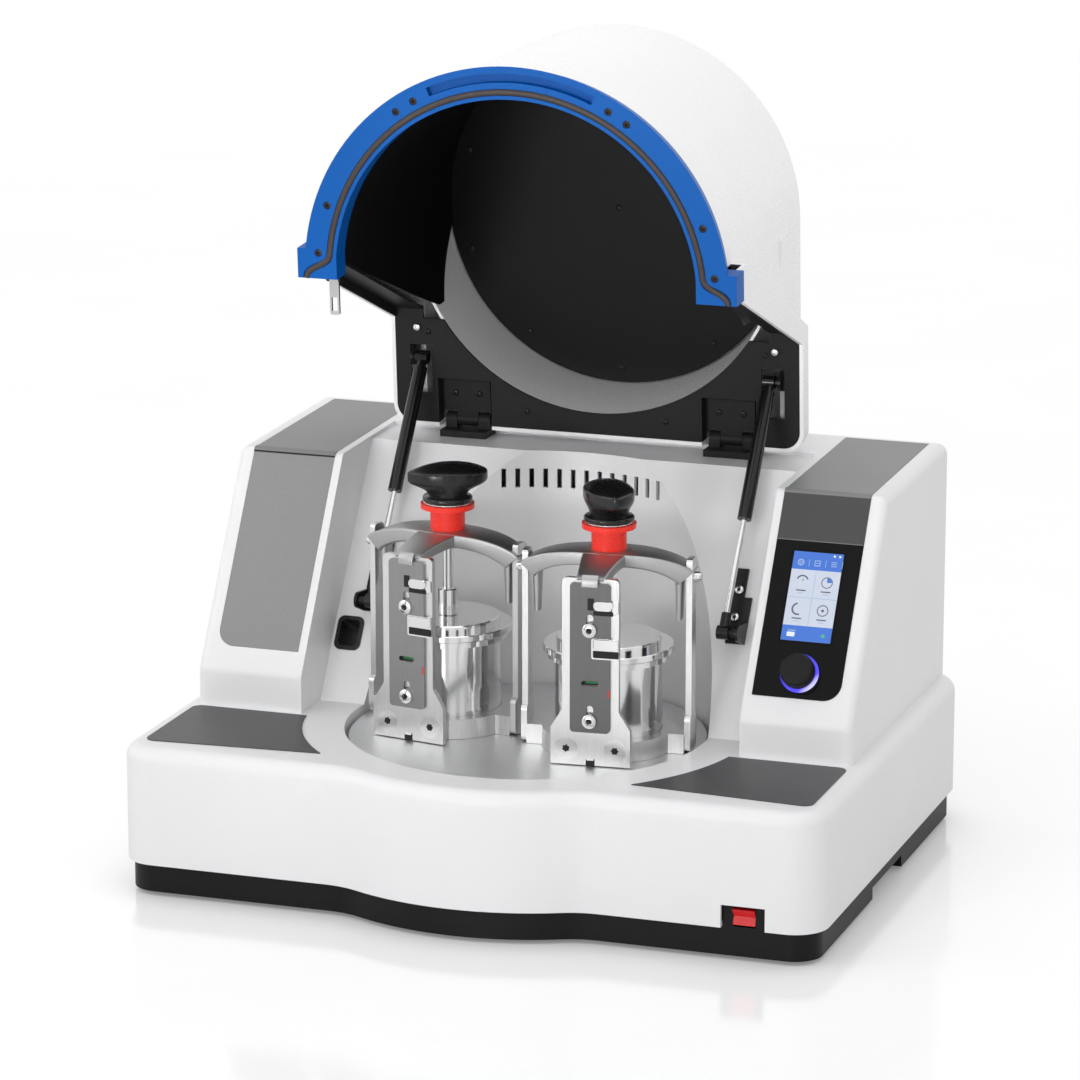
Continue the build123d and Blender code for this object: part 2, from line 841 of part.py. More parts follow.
def belt(circles, bottom, width):
    """A flat belt stretched round pulleys given as (x, y, radius)."""
    with BuildPart() as loop:
        with BuildSketch(Plane.XY.offset(bottom)):
            for x, y, radius in circles:
                with Locations((x, y)):
                    Circle(radius + seat_gap + belt_thickness)
            make_hull()
            with BuildSketch(mode=Mode.SUBTRACT):
                for x, y, radius in circles:
                    with Locations((x, y)):
                        Circle(radius + seat_gap)
                make_hull()
        extrude(amount=width)
    return loop.part


planet_circles = [(x, y, planet_pulley_radius) for x, y in spots]
planet_belt = belt(
    [planet_circles[0], (0, 0, sun_pulley_radius), planet_circles[1]],
    planet_pulley_bottom,
    planet_pulley_width - 1,
)
keep("planet_belt", planet_belt)

drive_belt = belt(
    [(0, 0, main_pulley_radius), (0, motor_y, motor_pulley_radius)],
    main_pulley_bottom + 1,
    main_pulley_width - 2,
)
keep("drive_belt", drive_belt)

motor_shaft_bottom = main_pulley_bottom - 2
with BuildPart() as motor_pulley:
    add(ring(motor_pulley_radius, motor_shaft_radius, main_pulley_bottom, main_pulley_width, (0, motor_y)))
    with BuildSketch(Plane.XY.offset(motor_shaft_bottom)):
        with Locations((0, motor_y)):
            Circle(motor_shaft_radius)
    extrude(amount=chassis_top + motor_shaft_reach - motor_shaft_bottom)
keep("motor_pulley", motor_pulley.part)

with BuildPart() as drive_motor:
    with BuildSketch(Plane.XY.offset(chassis_top)):
        with Locations((0, motor_y)):
            RectangleRounded(2.1 * motor_radius, 2.1 * motor_radius, 12)
    extrude(amount=10)
    with BuildSketch(Plane.XY.offset(chassis_top)):
        with Locations((0, motor_y)):
            Circle(motor_radius)
    extrude(amount=motor_length)
    fillet(drive_motor.faces().sort_by(Axis.Z)[-1].edges(), 6)
    with Locations((motor_radius, motor_y, chassis_top + motor_length / 2)):
        Box(*terminal_box)
    with BuildSketch(Plane.XY.offset(chassis_top)):
        with Locations((0, motor_y)):
            Circle(motor_shaft_radius + running_fit)
    extrude(amount=motor_shaft_reach + air_gap, mode=Mode.SUBTRACT)
keep("drive_motor", drive_motor.part)

with BuildPart() as drive_chassis:
    with BuildSketch(Plane.XY.offset(chassis_height)):
        with Locations((0, (chassis_front + chassis_rear) / 2)):
            RectangleRounded(2 * chassis_half_width, chassis_rear - chassis_front, 16)
        Circle(main_shaft_radius + air_gap, mode=Mode.SUBTRACT)
        with Locations((0, motor_y)):
            Circle(motor_shaft_radius + air_gap, mode=Mode.SUBTRACT)
    extrude(amount=chassis_thickness)
    leg_bottom = foot_height + plinth_wall
    with BuildSketch(Plane.XY.offset(leg_bottom)):
        with Locations((0, (chassis_front + chassis_rear) / 2)):
            with GridLocations(
                2 * chassis_half_width - 30, chassis_rear - chassis_front - 30, 2, 2
            ):
                Circle(chassis_leg_radius)
    extrude(amount=chassis_height - leg_bottom)
keep("drive_chassis", drive_chassis.part)
print("drive done")


# ======================================================================================
# Jar stations, drawn about their own axis with z = 0 on the turntable and the front post at -Y
# ======================================================================================
side_post_inner = side_post_face - post_thickness
front_post_inner = front_post_face - post_thickness
jar_bottom = holder_floor + seat_gap
lid_spigot_bottom = jar_top - 5
spindle_foot_bottom = jar_lid_top
spindle_foot_top = spindle_foot_bottom + spindle_foot_height
collar_bottom = bridge_top
collar_top = collar_bottom + collar_height
wing_bottom = collar_top + seat_gap
spindle_top = wing_bottom + wing_disc_height + wing_height / 2
bridge_arm_drop = 30.0
bridge_arm_round = 18.0

with BuildPart() as jar_holder:
    with BuildSketch(Plane.XY.offset(seat_gap)):
        Circle(holder_radius)
        with Locations((0, -front_post_inner / 2)):
            Rectangle(1.7 * front_post_foot_half_width, front_post_inner)
        Rectangle(2 * side_post_inner, side_post_width + 14)
    extrude(amount=holder_height)
    with BuildSketch(Plane.XY.offset(holder_floor)):
        Circle(jar_radius + seat_gap)
    extrude(amount=holder_height, mode=Mode.SUBTRACT)
    with BuildSketch(Plane.XY.offset(planet_pulley_bottom - turntable_top)):
        Circle(planet_shaft_radius)
    extrude(amount=turntable_top - planet_pulley_bottom + seat_gap)

planet_pulley = ring(
    planet_pulley_radius,
    planet_shaft_radius + running_fit,
    planet_pulley_bottom - turntable_top,
    planet_pulley_width,
)

with BuildPart() as front_post:
    with BuildSketch(Plane.XZ.offset(front_post_inner + running_fit)):
        with BuildLine():
            foot = front_post_foot_half_width
            half = front_post_half_width
            Polyline(
                (-foot, 1),
                (foot, 1),
                (foot, front_post_foot_height),
                (half, front_post_foot_height + 1.6 * (foot - half)),
                (half, front_post_top),
                (-half, front_post_top),
                (-half, front_post_foot_height + 1.6 * (foot - half)),
                (-foot, front_post_foot_height),
                close=True,
            )
        make_face()
    extrude(amount=post_thickness)
    upper = front_post.edges().filter_by(Axis.Y).group_by(Axis.Z)[-1]
    fillet(upper, 5)
    # countersunk holes of the foot screws
    with BuildSketch(Plane.XZ.offset(front_post_face)):
        with Locations((0, front_post_foot_height / 2 - 2)):
            with GridLocations(1.15 * front_post_foot_half_width, 1, 2, 1):
                Circle(8)
    extrude(amount=-1, mode=Mode.SUBTRACT)

with BuildPart() as side_posts:
    with BuildSketch(Plane.YZ.offset(side_post_inner + running_fit)):
        with Locations((0, (side_post_top + 1) / 2)):
            RectangleRounded(side_post_width, side_post_top - 1, 4)
        with Locations((0, holder_height)):
            RectangleRounded(side_post_width + 10, 2 * holder_height - 2, 6)
    extrude(amount=post_thickness)
    mirror(about=Plane.YZ)

with BuildPart() as clamp_bridge:
    with BuildSketch(Plane.XY.offset(bridge_top - 16)):
        Circle(bridge_hub_radius)
    extrude(amount=16)
    for turn, reach in ((0, side_post_inner), (180, side_post_inner), (270, front_post_inner)):
        arm_end = reach - seat_gap
        with BuildSketch(Plane.XZ.rotated((0, 0, turn)).offset(-bridge_arm_width / 2)) as arm_side:
            with BuildLine():
                crest = (0.55 * arm_end, bridge_top - 7)
                Polyline(
                    (0, bridge_top - 16),
                    (0, bridge_top),
                    (arm_end - bridge_arm_round, bridge_top),
                )
                ThreePointArc(
                    (arm_end - bridge_arm_round, bridge_top),
                    (arm_end - 5.3, bridge_top - 5.3),
                    (arm_end, bridge_top - bridge_arm_round),
                )
                Polyline(
                    (arm_end, bridge_top - bridge_arm_round),
                    (arm_end, bridge_top - bridge_arm_drop),
                    (arm_end - 6, bridge_top - bridge_arm_drop),
                )
                ThreePointArc(
                    (arm_end - 6, bridge_top - bridge_arm_drop), crest, (14, bridge_top - 16)
                )
                Line((14, bridge_top - 16), (0, bridge_top - 16))
            make_face()
        extrude(amount=bridge_arm_width)
    Cylinder(
        spindle_radius + running_fit,
        4 * bridge_top,
        mode=Mode.SUBTRACT,
    )
    # pins that hook the arms to the side posts
    for turn in (0, 180):
        with BuildSketch(Plane.YZ.rotated((0, 0, turn)).offset(side_post_inner - 1)):
            with Locations((0, bridge_top - bridge_arm_round - 4)):
                Circle(3.2)
        extrude(amount=1 - seat_gap / 3)

with BuildPart() as grinding_jar:
    with BuildSketch(Plane.XY.offset(jar_bottom)):
        Circle(jar_radius)
    extrude(amount=jar_top - jar_bottom)
    chamfer(grinding_jar.faces().sort_by(Axis.Z)[0].edges(), 2)
    with BuildSketch(Plane.XY.offset(jar_top - jar_flange_height)):
        Circle(jar_flange_radius)
    extrude(amount=jar_flange_height)
    with BuildSketch(Plane.XY.offset(jar_bottom + jar_wall + 1)):
        Circle(jar_radius - jar_wall)
    extrude(amount=jar_top, mode=Mode.SUBTRACT)
    inner_floor = grinding_jar.faces().filter_by(GeomType.PLANE).sort_by(Axis.Z)[1]
    fillet(inner_floor.edges().sort_by(SortBy.RADIUS)[0], 8)

with BuildPart() as jar_lid:
    with BuildSketch(Plane.XY.offset(jar_top)):
        Circle(jar_lid_radius)
    extrude(amount=jar_lid_flange)
    chamfer(jar_lid.edges(), 0.8)
    with BuildSketch(Plane.XY.offset(jar_top)):
        Circle(jar_lid_step_radius)
    extrude(amount=jar_lid_top - jar_top)
    chamfer(jar_lid.faces().sort_by(Axis.Z)[-1].edges(), 1)
    with BuildSketch(Plane.XY.offset(lid_spigot_bottom)):
        Circle(jar_radius - jar_wall - seat_gap)
    extrude(amount=jar_top - lid_spigot_bottom)

with BuildPart() as spindle_collar:
    with BuildSketch(Plane.XY.offset(collar_bottom)):
        Circle(collar_radius)
    extrude(amount=collar_height)
    with BuildSketch(Plane.XY.offset(collar_top - 7)):
        Circle(collar_flange_radius)
    extrude(amount=5)
    fillet(spindle_collar.faces().filter_by(GeomType.CYLINDER).sort_by(SortBy.AREA)[-1].edges(), 1)
    with BuildSketch(Plane.XY.offset(collar_bottom)):
        Circle(spindle_radius + running_fit)
    extrude(amount=collar_height, mode=Mode.SUBTRACT)

with BuildPart() as clamp_spindle:
    with BuildSketch(Plane.XY.offset(spindle_foot_bottom)):
        Circle(spindle_foot_radius)
    extrude(amount=spindle_foot_height)
    chamfer(clamp_spindle.edges(), 1)
    with BuildSketch(Plane.XY.offset(spindle_foot_top)):
        Circle(spindle_radius)
    extrude(amount=spindle_top - spindle_foot_top)

with BuildPart() as wing_knob:
    with BuildSketch(Plane.XY.offset(wing_bottom)):
        Circle(wing_disc_radius)
    extrude(amount=wing_disc_height)
    with BuildSketch(Plane.XY.offset(wing_bottom + wing_disc_height)):
        Circle(wing_width / 2)
    extrude(amount=wing_height - 4)
    with BuildSketch(Plane.XY.offset(wing_bottom + wing_disc_height + wing_height / 3)):
        SlotOverall(wing_length, 0.75 * wing_width)
    extrude(amount=2 * wing_height / 3)
    fillet(wing_knob.faces().sort_by(Axis.Z)[-1].edges(), 3)
    with BuildSketch(Plane.XY.offset(wing_bottom)):
        Circle(spindle_radius + running_fit)
    extrude(amount=spindle_top - wing_bottom, mode=Mode.SUBTRACT)

with BuildPart() as safety_slider:
    with BuildSketch(Plane.XZ.offset(front_post_face + seat_gap / 3)):
        with Locations((0, (slider_foot + slider_top) / 2)):
            RectangleRounded(2 * slider_half_width, slider_top - slider_foot, 4)
        low_slot = slider_foot + slider_slot_rise + slider_stroke / 2
        with Locations((0, low_slot), (0, low_slot + slider_slot_pitch)):
            SlotCenterToCenter(
                slider_stroke, slider_slot_width, rotation=90, mode=Mode.SUBTRACT
            )
        with Locations((0, slider_foot + slider_window_rise)):
            SlotCenterToCenter(*slider_window, mode=Mode.SUBTRACT)
    extrude(amount=slider_thickness)

for side, turn in station_spots.items():
    spot = point_at(station_radius, turn)
    place = Location((spot[0], spot[1], turntable_top), (0, 0, station_turns[side]))
    knob_place = Location((spot[0], spot[1], turntable_top), (0, 0, knob_turns[side]))
    holder_solids = [*jar_holder.part.solids(), *planet_pulley.solids()]
    holder_solids += [*front_post.part.solids(), *side_posts.part.solids()]
    keep(f"{side}_jar_holder", Compound(holder_solids).moved(place))
    keep(f"{side}_clamp_bridge", clamp_bridge.part.moved(place))
    keep(f"{side}_grinding_jar", grinding_jar.part.moved(place))
    keep(f"{side}_jar_lid", jar_lid.part.moved(place))
    keep(f"{side}_spindle_collar", spindle_collar.part.moved(place))
    keep(f"{side}_clamp_spindle", clamp_spindle.part.moved(place))
    keep(f"{side}_wing_knob", wing_knob.part.moved(knob_place))
    keep(f"{side}_safety_slider", safety_slider.part.moved(place))
print("stations done")


# ======================================================================================
# Lid, drawn shut
# ======================================================================================
drum_bottom = rim_height + rim_thickness
frame_half_width = lid_flange_half_width - lid_wall
frame_rear = lid_rear - lid_wall
plate_top = lid_plate_height + lid_plate_thickness
diagonal_angle = math.atan2(lid_plate_height - lid_diagonal[1], lid_plate_front - lid_diagonal[0])
flange_back = flange_recess + lid_plate_thickness
pocket_half_width = hinge_width / 2 + hinge_pocket_side
leaf_top = lid_leaf_bottom + lid_leaf_thickness
drum_axis = Axis((0, drum_centre, 0), (0, 0, 1))
front_half_axis = Axis((0, drum_centre, 0), (0, 0, -1))


def drum_plan(radius):
    """Plan of the drum: half round at the front, straight sides to the rear."""
    with BuildSketch() as plan:
        with Locations((0, drum_centre)):
            Circle(radius)
        with Locations((0, drum_centre)):
            Rectangle(2 * radius, lid_rear - drum_centre, align=(Align.CENTER, Align.MIN))
    return plan.sketch


def diagonal_strip(near, far):
    """Side view of a strip along the lid's diagonal, between two depths inside its edge."""
    near_shift = near / math.sin(diagonal_angle)
    far_shift = far / math.sin(diagonal_angle)
    with BuildSketch() as strip:
        with BuildLine():
            Polyline(
                (lid_diagonal[0] - near_shift, drum_bottom),
                (lid_plate_front - near_shift, lid_plate_height),
                (lid_plate_front - far_shift, lid_plate_height),
                (lid_diagonal[0] - far_shift, drum_bottom),
                close=True,
            )
        make_face()
    return strip.sketch


def lid_underside(depth, rear):
    """Side view of the space below the lid, with the diagonal moved into the lid by the depth."""
    shift = depth / math.sin(diagonal_angle)
    with BuildSketch() as side:
        with BuildLine():
            Polyline(
                (-2 * rim_outer_radius, 0),
                (-2 * rim_outer_radius, drum_bottom),
                (lid_diagonal[0] - shift, drum_bottom),
                (lid_plate_front - shift, lid_plate_height),
                (rear, lid_plate_height),
                (rear, 0),
                close=True,
            )
        make_face()
    return side.sketch


def lid_flange(half_width, inset):
    """The broad lower frame of the lid, along the diagonals and round the plate."""
    crown = lid_flange_height - inset
    with BuildPart() as frame:
        with BuildSketch(Plane.YZ.offset(-half_width)):
            with BuildLine():
                Polyline(
                    (rim_tab_front, drum_bottom),
                    lid_diagonal,
                    (lid_plate_front, lid_plate_height),
                    (lid_rear - inset, lid_plate_height),
                    (lid_rear - inset, lid_plate_height + crown),
                    (lid_plate_front - flange_set_back, lid_plate_height + crown),
                    (rim_tab_front, drum_bottom + crown),
                    close=True,
                )
            make_face()
        extrude(amount=2 * half_width)
        rear_corners = frame.edges().filter_by(Axis.Z).group_by(Axis.Y)[-1]
        fillet(rear_corners, lid_corner - inset)
        if not inset:
            top_edges = frame.faces().sort_by(Axis.Z)[-1].edges()
            fillet(top_edges.filter_by(Axis.Y), flange_round)
    return frame.part


def drum_body(radius, top, rear, rounding):
    """The drum with its drafted sides, cut flat at the rear."""
    with BuildPart() as body:
        with BuildSketch(Plane.XY.offset(top)):
            add(drum_plan(radius))
        extrude(amount=-(top - drum_bottom), taper=-drum_draft)
        split(bisect_by=Plane.XZ.offset(-rear), keep=Keep.TOP)
        if rounding:
            crown = body.faces().sort_by(Axis.Z)[-1].edges()
            fillet(crown.sort_by(Axis.Y)[:-1], rounding)
    return body.part


drum_outside = drum_body(roof_radius, roof_height, lid_rear, roof_round)
drum_inside = drum_body(roof_radius - lid_wall, roof_height - lid_wall, frame_rear, 0)
frame_outside = lid_flange(lid_flange_half_width, 0)
frame_inside = lid_flange(frame_half_width, lid_wall)
below_lid = lid_underside(0, lid_rear + 1)
below_flanges = lid_underside(flange_back, frame_rear)
below_liner = lid_underside(flange_back + seat_gap, frame_rear)

with BuildPart() as lid_shell:
    add(drum_outside)
    add(frame_outside)
    add(drum_inside, mode=Mode.SUBTRACT)
    add(frame_inside, mode=Mode.SUBTRACT)
    with BuildSketch(Plane.YZ):
        add(below_lid)
    extrude(amount=2 * rim_outer_radius, both=True, mode=Mode.SUBTRACT)
    # room for the black flanges along the diagonals
    with BuildSketch(Plane.YZ):
        add(below_flanges)
    extrude(amount=frame_half_width, both=True, mode=Mode.SUBTRACT)
    # the round white wall at the back of the drum
    with BuildSketch(Plane.XZ.offset(-drum_centre)):
        with BuildLine():
            Polyline(
                (plate_opening_radius, plate_top),
                (liner_radius + 1, roof_height - lid_wall),
                (liner_radius + 1 + round_wall, roof_height - lid_wall),
                (plate_opening_radius + round_wall, plate_top),
                close=True,
            )
        make_face()
    revolve(axis=drum_axis, revolution_arc=180)
    # notches in the rear wall for the hinge knuckles
    notch_height = knuckle_radius + air_gap + hinge_height - lid_plate_height
    with Locations((0, lid_rear, lid_plate_height + notch_height / 2)):
        with GridLocations(2 * hinge_x, 1, 2, 1):
            Box(2 * pocket_half_width, 3 * lid_wall, notch_height, mode=Mode.SUBTRACT)
keep_lid("lid_shell", lid_shell.part)

with BuildPart() as lid_inner_wall:
    with BuildSketch(Plane.XZ.offset(-drum_centre)):
        with BuildLine():
            Polyline(
                (liner_radius, drum_bottom),
                (liner_radius + liner_wall, drum_bottom),
                (liner_radius, roof_liner_height),
                (liner_radius - liner_wall, roof_liner_height),
                close=True,
            )
        make_face()
    revolve(axis=drum_axis, revolution_arc=360)
    with BuildSketch(Plane.YZ):
        add(below_liner)
    extrude(amount=2 * liner_radius, both=True, mode=Mode.SUBTRACT)
    # it ends at the back along a line that leans forward toward the roof
    with BuildSketch(Plane.YZ):
        with BuildLine():
            Polyline(
                (liner_rear_low, lid_plate_height),
                (liner_rear_high, roof_liner_height + 1),
                (2 * liner_radius, roof_liner_height + 1),
                (2 * liner_radius, lid_plate_height - liner_tail),
                (liner_rear_low, lid_plate_height - liner_tail),
                close=True,
            )
        make_face()
    extrude(amount=2 * liner_radius, both=True, mode=Mode.SUBTRACT)
keep_lid("lid_inner_wall", lid_inner_wall.part)

with BuildPart() as roof_liner:
    with BuildSketch(Plane.XY.offset(roof_liner_height)):
        with Locations((0, drum_centre)):
            Circle(liner_radius)
    extrude(amount=lid_plate_thickness)
    with BuildSketch(Plane.XY.offset(roof_liner_height)):
        with Locations((0, drum_centre)):
            Circle(liner_radius - seat_gap)
            Circle(liner_radius - roof_liner_rim, mode=Mode.SUBTRACT)
    extrude(amount=roof_height - lid_wall - roof_liner_height)
keep_lid("roof_liner", roof_liner.part)

hook_pivot = (hook_pivot_y, hook_height)
hook_inner_face = hook_x + hook_width / 2 + seat_gap
hook_outer_face = hook_x - hook_width / 2 - seat_gap - hook_ear_thickness
ear_depth = 5.5
hook_ear_top = (
    hook_pivot_y - ear_depth * math.sin(diagonal_angle),
    hook_height + ear_depth * math.cos(diagonal_angle),
)

with BuildPart() as lid_bottom_plate:
    with BuildSketch(Plane.XY.offset(lid_plate_height)):
        with Locations((0, lid_plate_front)):
            Rectangle(
                2 * frame_half_width,
                frame_rear - seat_gap - lid_plate_front,
                align=(Align.CENTER, Align.MIN),
            )
        with Locations((0, drum_centre)):
            Circle(plate_opening_radius, mode=Mode.SUBTRACT)
        # front ends that carry the diagonal flanges
        reach = flange_back / math.sin(diagonal_angle)
        for side in sides:
            with Locations((side * (flange_inner + frame_half_width) / 2, lid_plate_front)):
                Rectangle(
                    frame_half_width - flange_inner, reach, align=(Align.CENTER, Align.MAX)
                )
        # slots for the gas struts and openings over the hinges
        for side in sides:
            with Locations((side * strut_slot_centre, strut_slot_front)):
                Rectangle(
                    2 * strut_slot_half_width,
                    strut_slot_rear - strut_slot_front,
                    align=(Align.CENTER, Align.MIN),
                    mode=Mode.SUBTRACT,
                )
            with Locations((side * hinge_x, hinge_pocket_front)):
                Rectangle(
                    2 * pocket_half_width,
                    frame_rear - hinge_pocket_front,
                    align=(Align.CENTER, Align.MIN),
                    mode=Mode.SUBTRACT,
                )
    extrude(amount=lid_plate_thickness)
    outer_corners = lid_bottom_plate.edges().filter_by(Axis.Z).group_by(Axis.Y)[-1]
    outer_corners = outer_corners.filter_by(lambda e: abs(e.center().X) > frame_half_width - 1)
    fillet(outer_corners, lid_corner - lid_wall)
    # raised pockets round the hinges, with a ceiling that the lid leaves are screwed to
    for side in sides:
        pocket_wide = 2 * (pocket_half_width + hinge_pocket_wall)
        with BuildSketch(Plane.XY.offset(lid_plate_height)):
            with Locations((side * hinge_x, hinge_pocket_front - hinge_pocket_wall)):
                Rectangle(
                    pocket_wide,
                    frame_rear - seat_gap - hinge_pocket_front + hinge_pocket_wall,
                    align=(Align.CENTER, Align.MIN),
                )
            with Locations((side * hinge_x, hinge_pocket_front)):
                Rectangle(
                    2 * pocket_half_width,
                    frame_rear - hinge_pocket_front,
                    align=(Align.CENTER, Align.MIN),
                    mode=Mode.SUBTRACT,
                )
        extrude(amount=leaf_top - lid_plate_height + hinge_pocket_wall)
        with BuildSketch(Plane.XY.offset(leaf_top)):
            with Locations((side * hinge_x, hinge_pocket_front - hinge_pocket_wall)):
                Rectangle(
                    pocket_wide,
                    lid_leaf_rear - hinge_pocket_front + hinge_pocket_wall,
                    align=(Align.CENTER, Align.MIN),
                )
        extrude(amount=hinge_pocket_wall)
    # the diagonal flanges with an outer rib each
    flange_middle = (flange_inner + frame_half_width) / 2
    for side in sides:
        with BuildSketch(Plane.YZ.offset(side * flange_middle)):
            add(diagonal_strip(flange_recess, flange_back))
        extrude(amount=(frame_half_width - flange_inner) / 2, both=True)
        with BuildSketch(Plane.YZ.offset(side * (frame_half_width - flange_rib / 2))):
            add(diagonal_strip(0, flange_back))
        extrude(amount=flange_rib / 2, both=True)
    # two ears and a pin for the latch hook
    for ear_x in (hook_outer_face, hook_inner_face):
        with BuildSketch(Plane.YZ.offset(ear_x)):
            with Locations(hook_pivot, hook_ear_top):
                Circle(hook_ear_radius)
            make_hull()
        extrude(amount=hook_ear_thickness)
    with BuildSketch(Plane.YZ.offset(hook_outer_face)):
        with Locations(hook_pivot):
            Circle(hook_pin_radius)
    extrude(amount=hook_inner_face - hook_outer_face)
keep_lid("lid_bottom_plate", lid_bottom_plate.part)

with BuildPart() as latch_hook:
    with BuildSketch(Plane.XY.offset(hook_height - hook_thickness / 2)):
        with Locations((hook_x, hook_pivot_y)):
            Rectangle(hook_width, hook_length, align=(Align.CENTER, Align.MIN))
        window_y = hook_pivot_y + hook_length - hook_window[1] / 2 - hook_window_end
        with Locations((hook_x, window_y)):
            Rectangle(*hook_window, mode=Mode.SUBTRACT)
    extrude(amount=hook_thickness)
    fillet(latch_hook.edges().filter_by(Axis.Z).group_by(Axis.Y)[-1], hook_end_round)
    with BuildSketch(Plane.YZ.offset(hook_x - hook_width / 2)):
        with Locations(hook_pivot):
            Circle(hook_thickness)
    extrude(amount=hook_width)
    with BuildSketch(Plane.YZ.offset(hook_x - hook_width / 2)):
        with Locations(hook_pivot):
            Circle(hook_pin_radius + running_fit)
    extrude(amount=hook_width, mode=Mode.SUBTRACT)
keep_lid("latch_hook", latch_hook.part)


def gasket_line():
    """Middle line of the seal under the rim: round the drum, then outward across each tab."""
    turn_in = point_at(gasket_radius, -gasket_turn_in)
    inner_end = (turn_in[0], drum_centre + turn_in[1])
    outer_end = (gasket_tab_x, rim_tab_rear - seat_gap)
    lead_x = math.sin(math.radians(gasket_turn_in))
    lead_y = math.cos(math.radians(gasket_turn_in))
    with BuildLine() as line:
        CenterArc((0, drum_centre), gasket_radius, 180 + gasket_turn_in, 180 - 2 * gasket_turn_in)
        for side in sides:
            Spline(
                (side * inner_end[0], inner_end[1]),
                (side * outer_end[0], outer_end[1]),
                tangents=[(side * lead_x, lead_y), (0, 1)],
            )
    return line.line


gasket_path = gasket_line()
rim_screw_spots = [
    (x, y + drum_centre) for x, y in (point_at(rim_screw_radius, t) for t in rim_screw_turns)
]
with BuildPart() as lid_rim:
    with BuildSketch(Plane.XZ.offset(-drum_centre)):
        with BuildLine():
            Polyline(
                (rim_inner_radius, rim_height),
                (rim_outer_radius, rim_height),
                (rim_outer_radius - rim_bevel, drum_bottom),
                (rim_inner_radius, drum_bottom),
                close=True,
            )
        make_face()
    revolve(axis=front_half_axis, revolution_arc=180)
    for side in sides:
        tab_middle = side * (rim_inner_half_width + rim_tab_half_width) / 2
        with Locations((tab_middle, rim_tab_front, rim_height)):
            Box(
                rim_tab_half_width - rim_inner_half_width,
                rim_tab_rear - rim_tab_front,
                rim_thickness,
                align=(Align.CENTER, Align.MIN, Align.MIN),
            )
    # finger groove at the front, seat of the seal, and the screw holes
    with BuildSketch(Plane.XY.offset(rim_height)):
        with BuildLine():
            CenterArc((0, drum_centre), grip_radius, 270 - grip_half_angle, 2 * grip_half_angle)
        trace(line_width=grip_width)
    extrude(amount=grip_depth, mode=Mode.SUBTRACT)
    with BuildSketch(Plane.XY.offset(rim_height)):
        with BuildLine():
            add(gasket_path)
        trace(line_width=gasket_width + 2 * seat_gap)
    extrude(amount=gasket_seat, mode=Mode.SUBTRACT)
    with BuildSketch(Plane.XY.offset(rim_height)):
        with Locations(*rim_screw_spots):
            Circle(screw_head_radius + seat_gap)
    extrude(amount=screw_head_height + 1, mode=Mode.SUBTRACT)
keep_lid("lid_rim", lid_rim.part)

with BuildPart() as rim_gasket:
    with BuildSketch(Plane.XY.offset(rim_height + gasket_seat)):
        with BuildLine():
            add(gasket_path)
        trace(line_width=gasket_width)
    extrude(amount=-(gasket_seat + gasket_stand))
keep_lid("rim_gasket", rim_gasket.part)

with BuildPart() as lid_screws:
    with BuildSketch(Plane.XY.offset(rim_height + 1)):
        with Locations(*rim_screw_spots):
            Circle(screw_head_radius)
            RegularPolygon(screw_socket_radius, 6, mode=Mode.SUBTRACT)
    extrude(amount=screw_head_height)
    with BuildSketch(Plane.XY.offset(roof_liner_height)):
        with Locations((0, drum_centre)):
            Circle(screw_head_radius)
            with PolarLocations(roof_screw_circle, roof_screw_count, 18):
                Circle(screw_head_radius)
    extrude(amount=-flat_head_height)
    with BuildSketch(Plane.XY.offset(lid_plate_height)):
        for side in sides:
            with Locations(*[(side * x, y) for x, y in plate_screws]):
                Circle(screw_head_radius)
    extrude(amount=-flat_head_height)
    with BuildSketch(Plane.XY.offset(lid_leaf_bottom)):
        with Locations((0, leaf_screw_y)):
            with GridLocations(2 * hinge_x, 1, 2, 1):
                with GridLocations(leaf_screw_spread, 1, 2, 1):
                    Circle(screw_head_radius)
    extrude(amount=-flat_head_height)
keep_lid("lid_screws", lid_screws.part)
print("lid done")


# ======================================================================================
# Lid hinges
# ======================================================================================
lid_knuckle_half = hinge_width / 2 - base_knuckle_width - knuckle_gap - 1
hinge_centre = (hinge_y, hinge_height)

with BuildPart() as hinge_lid_leaves:
    for side in sides:
        with BuildSketch(Plane.XY.offset(lid_leaf_bottom)):
            with Locations((side * hinge_x, lid_leaf_front)):
                Rectangle(
                    hinge_width, lid_leaf_rear - lid_leaf_front, align=(Align.CENTER, Align.MIN)
                )
                Rectangle(
                    2 * lid_knuckle_half, hinge_y - lid_leaf_front, align=(Align.CENTER, Align.MIN)
                )
        extrude(amount=lid_leaf_thickness)
        with BuildSketch(Plane.YZ.offset(side * hinge_x)):
            with Locations(hinge_centre):
                Circle(knuckle_radius)
        extrude(amount=lid_knuckle_half, both=True)
        with BuildSketch(Plane.YZ.offset(side * hinge_x)):
            with Locations(hinge_centre):
                Circle(hinge_pin_radius + running_fit)
        extrude(amount=lid_knuckle_half, both=True, mode=Mode.SUBTRACT)
keep_lid("hinge_lid_leaves", hinge_lid_leaves.part)

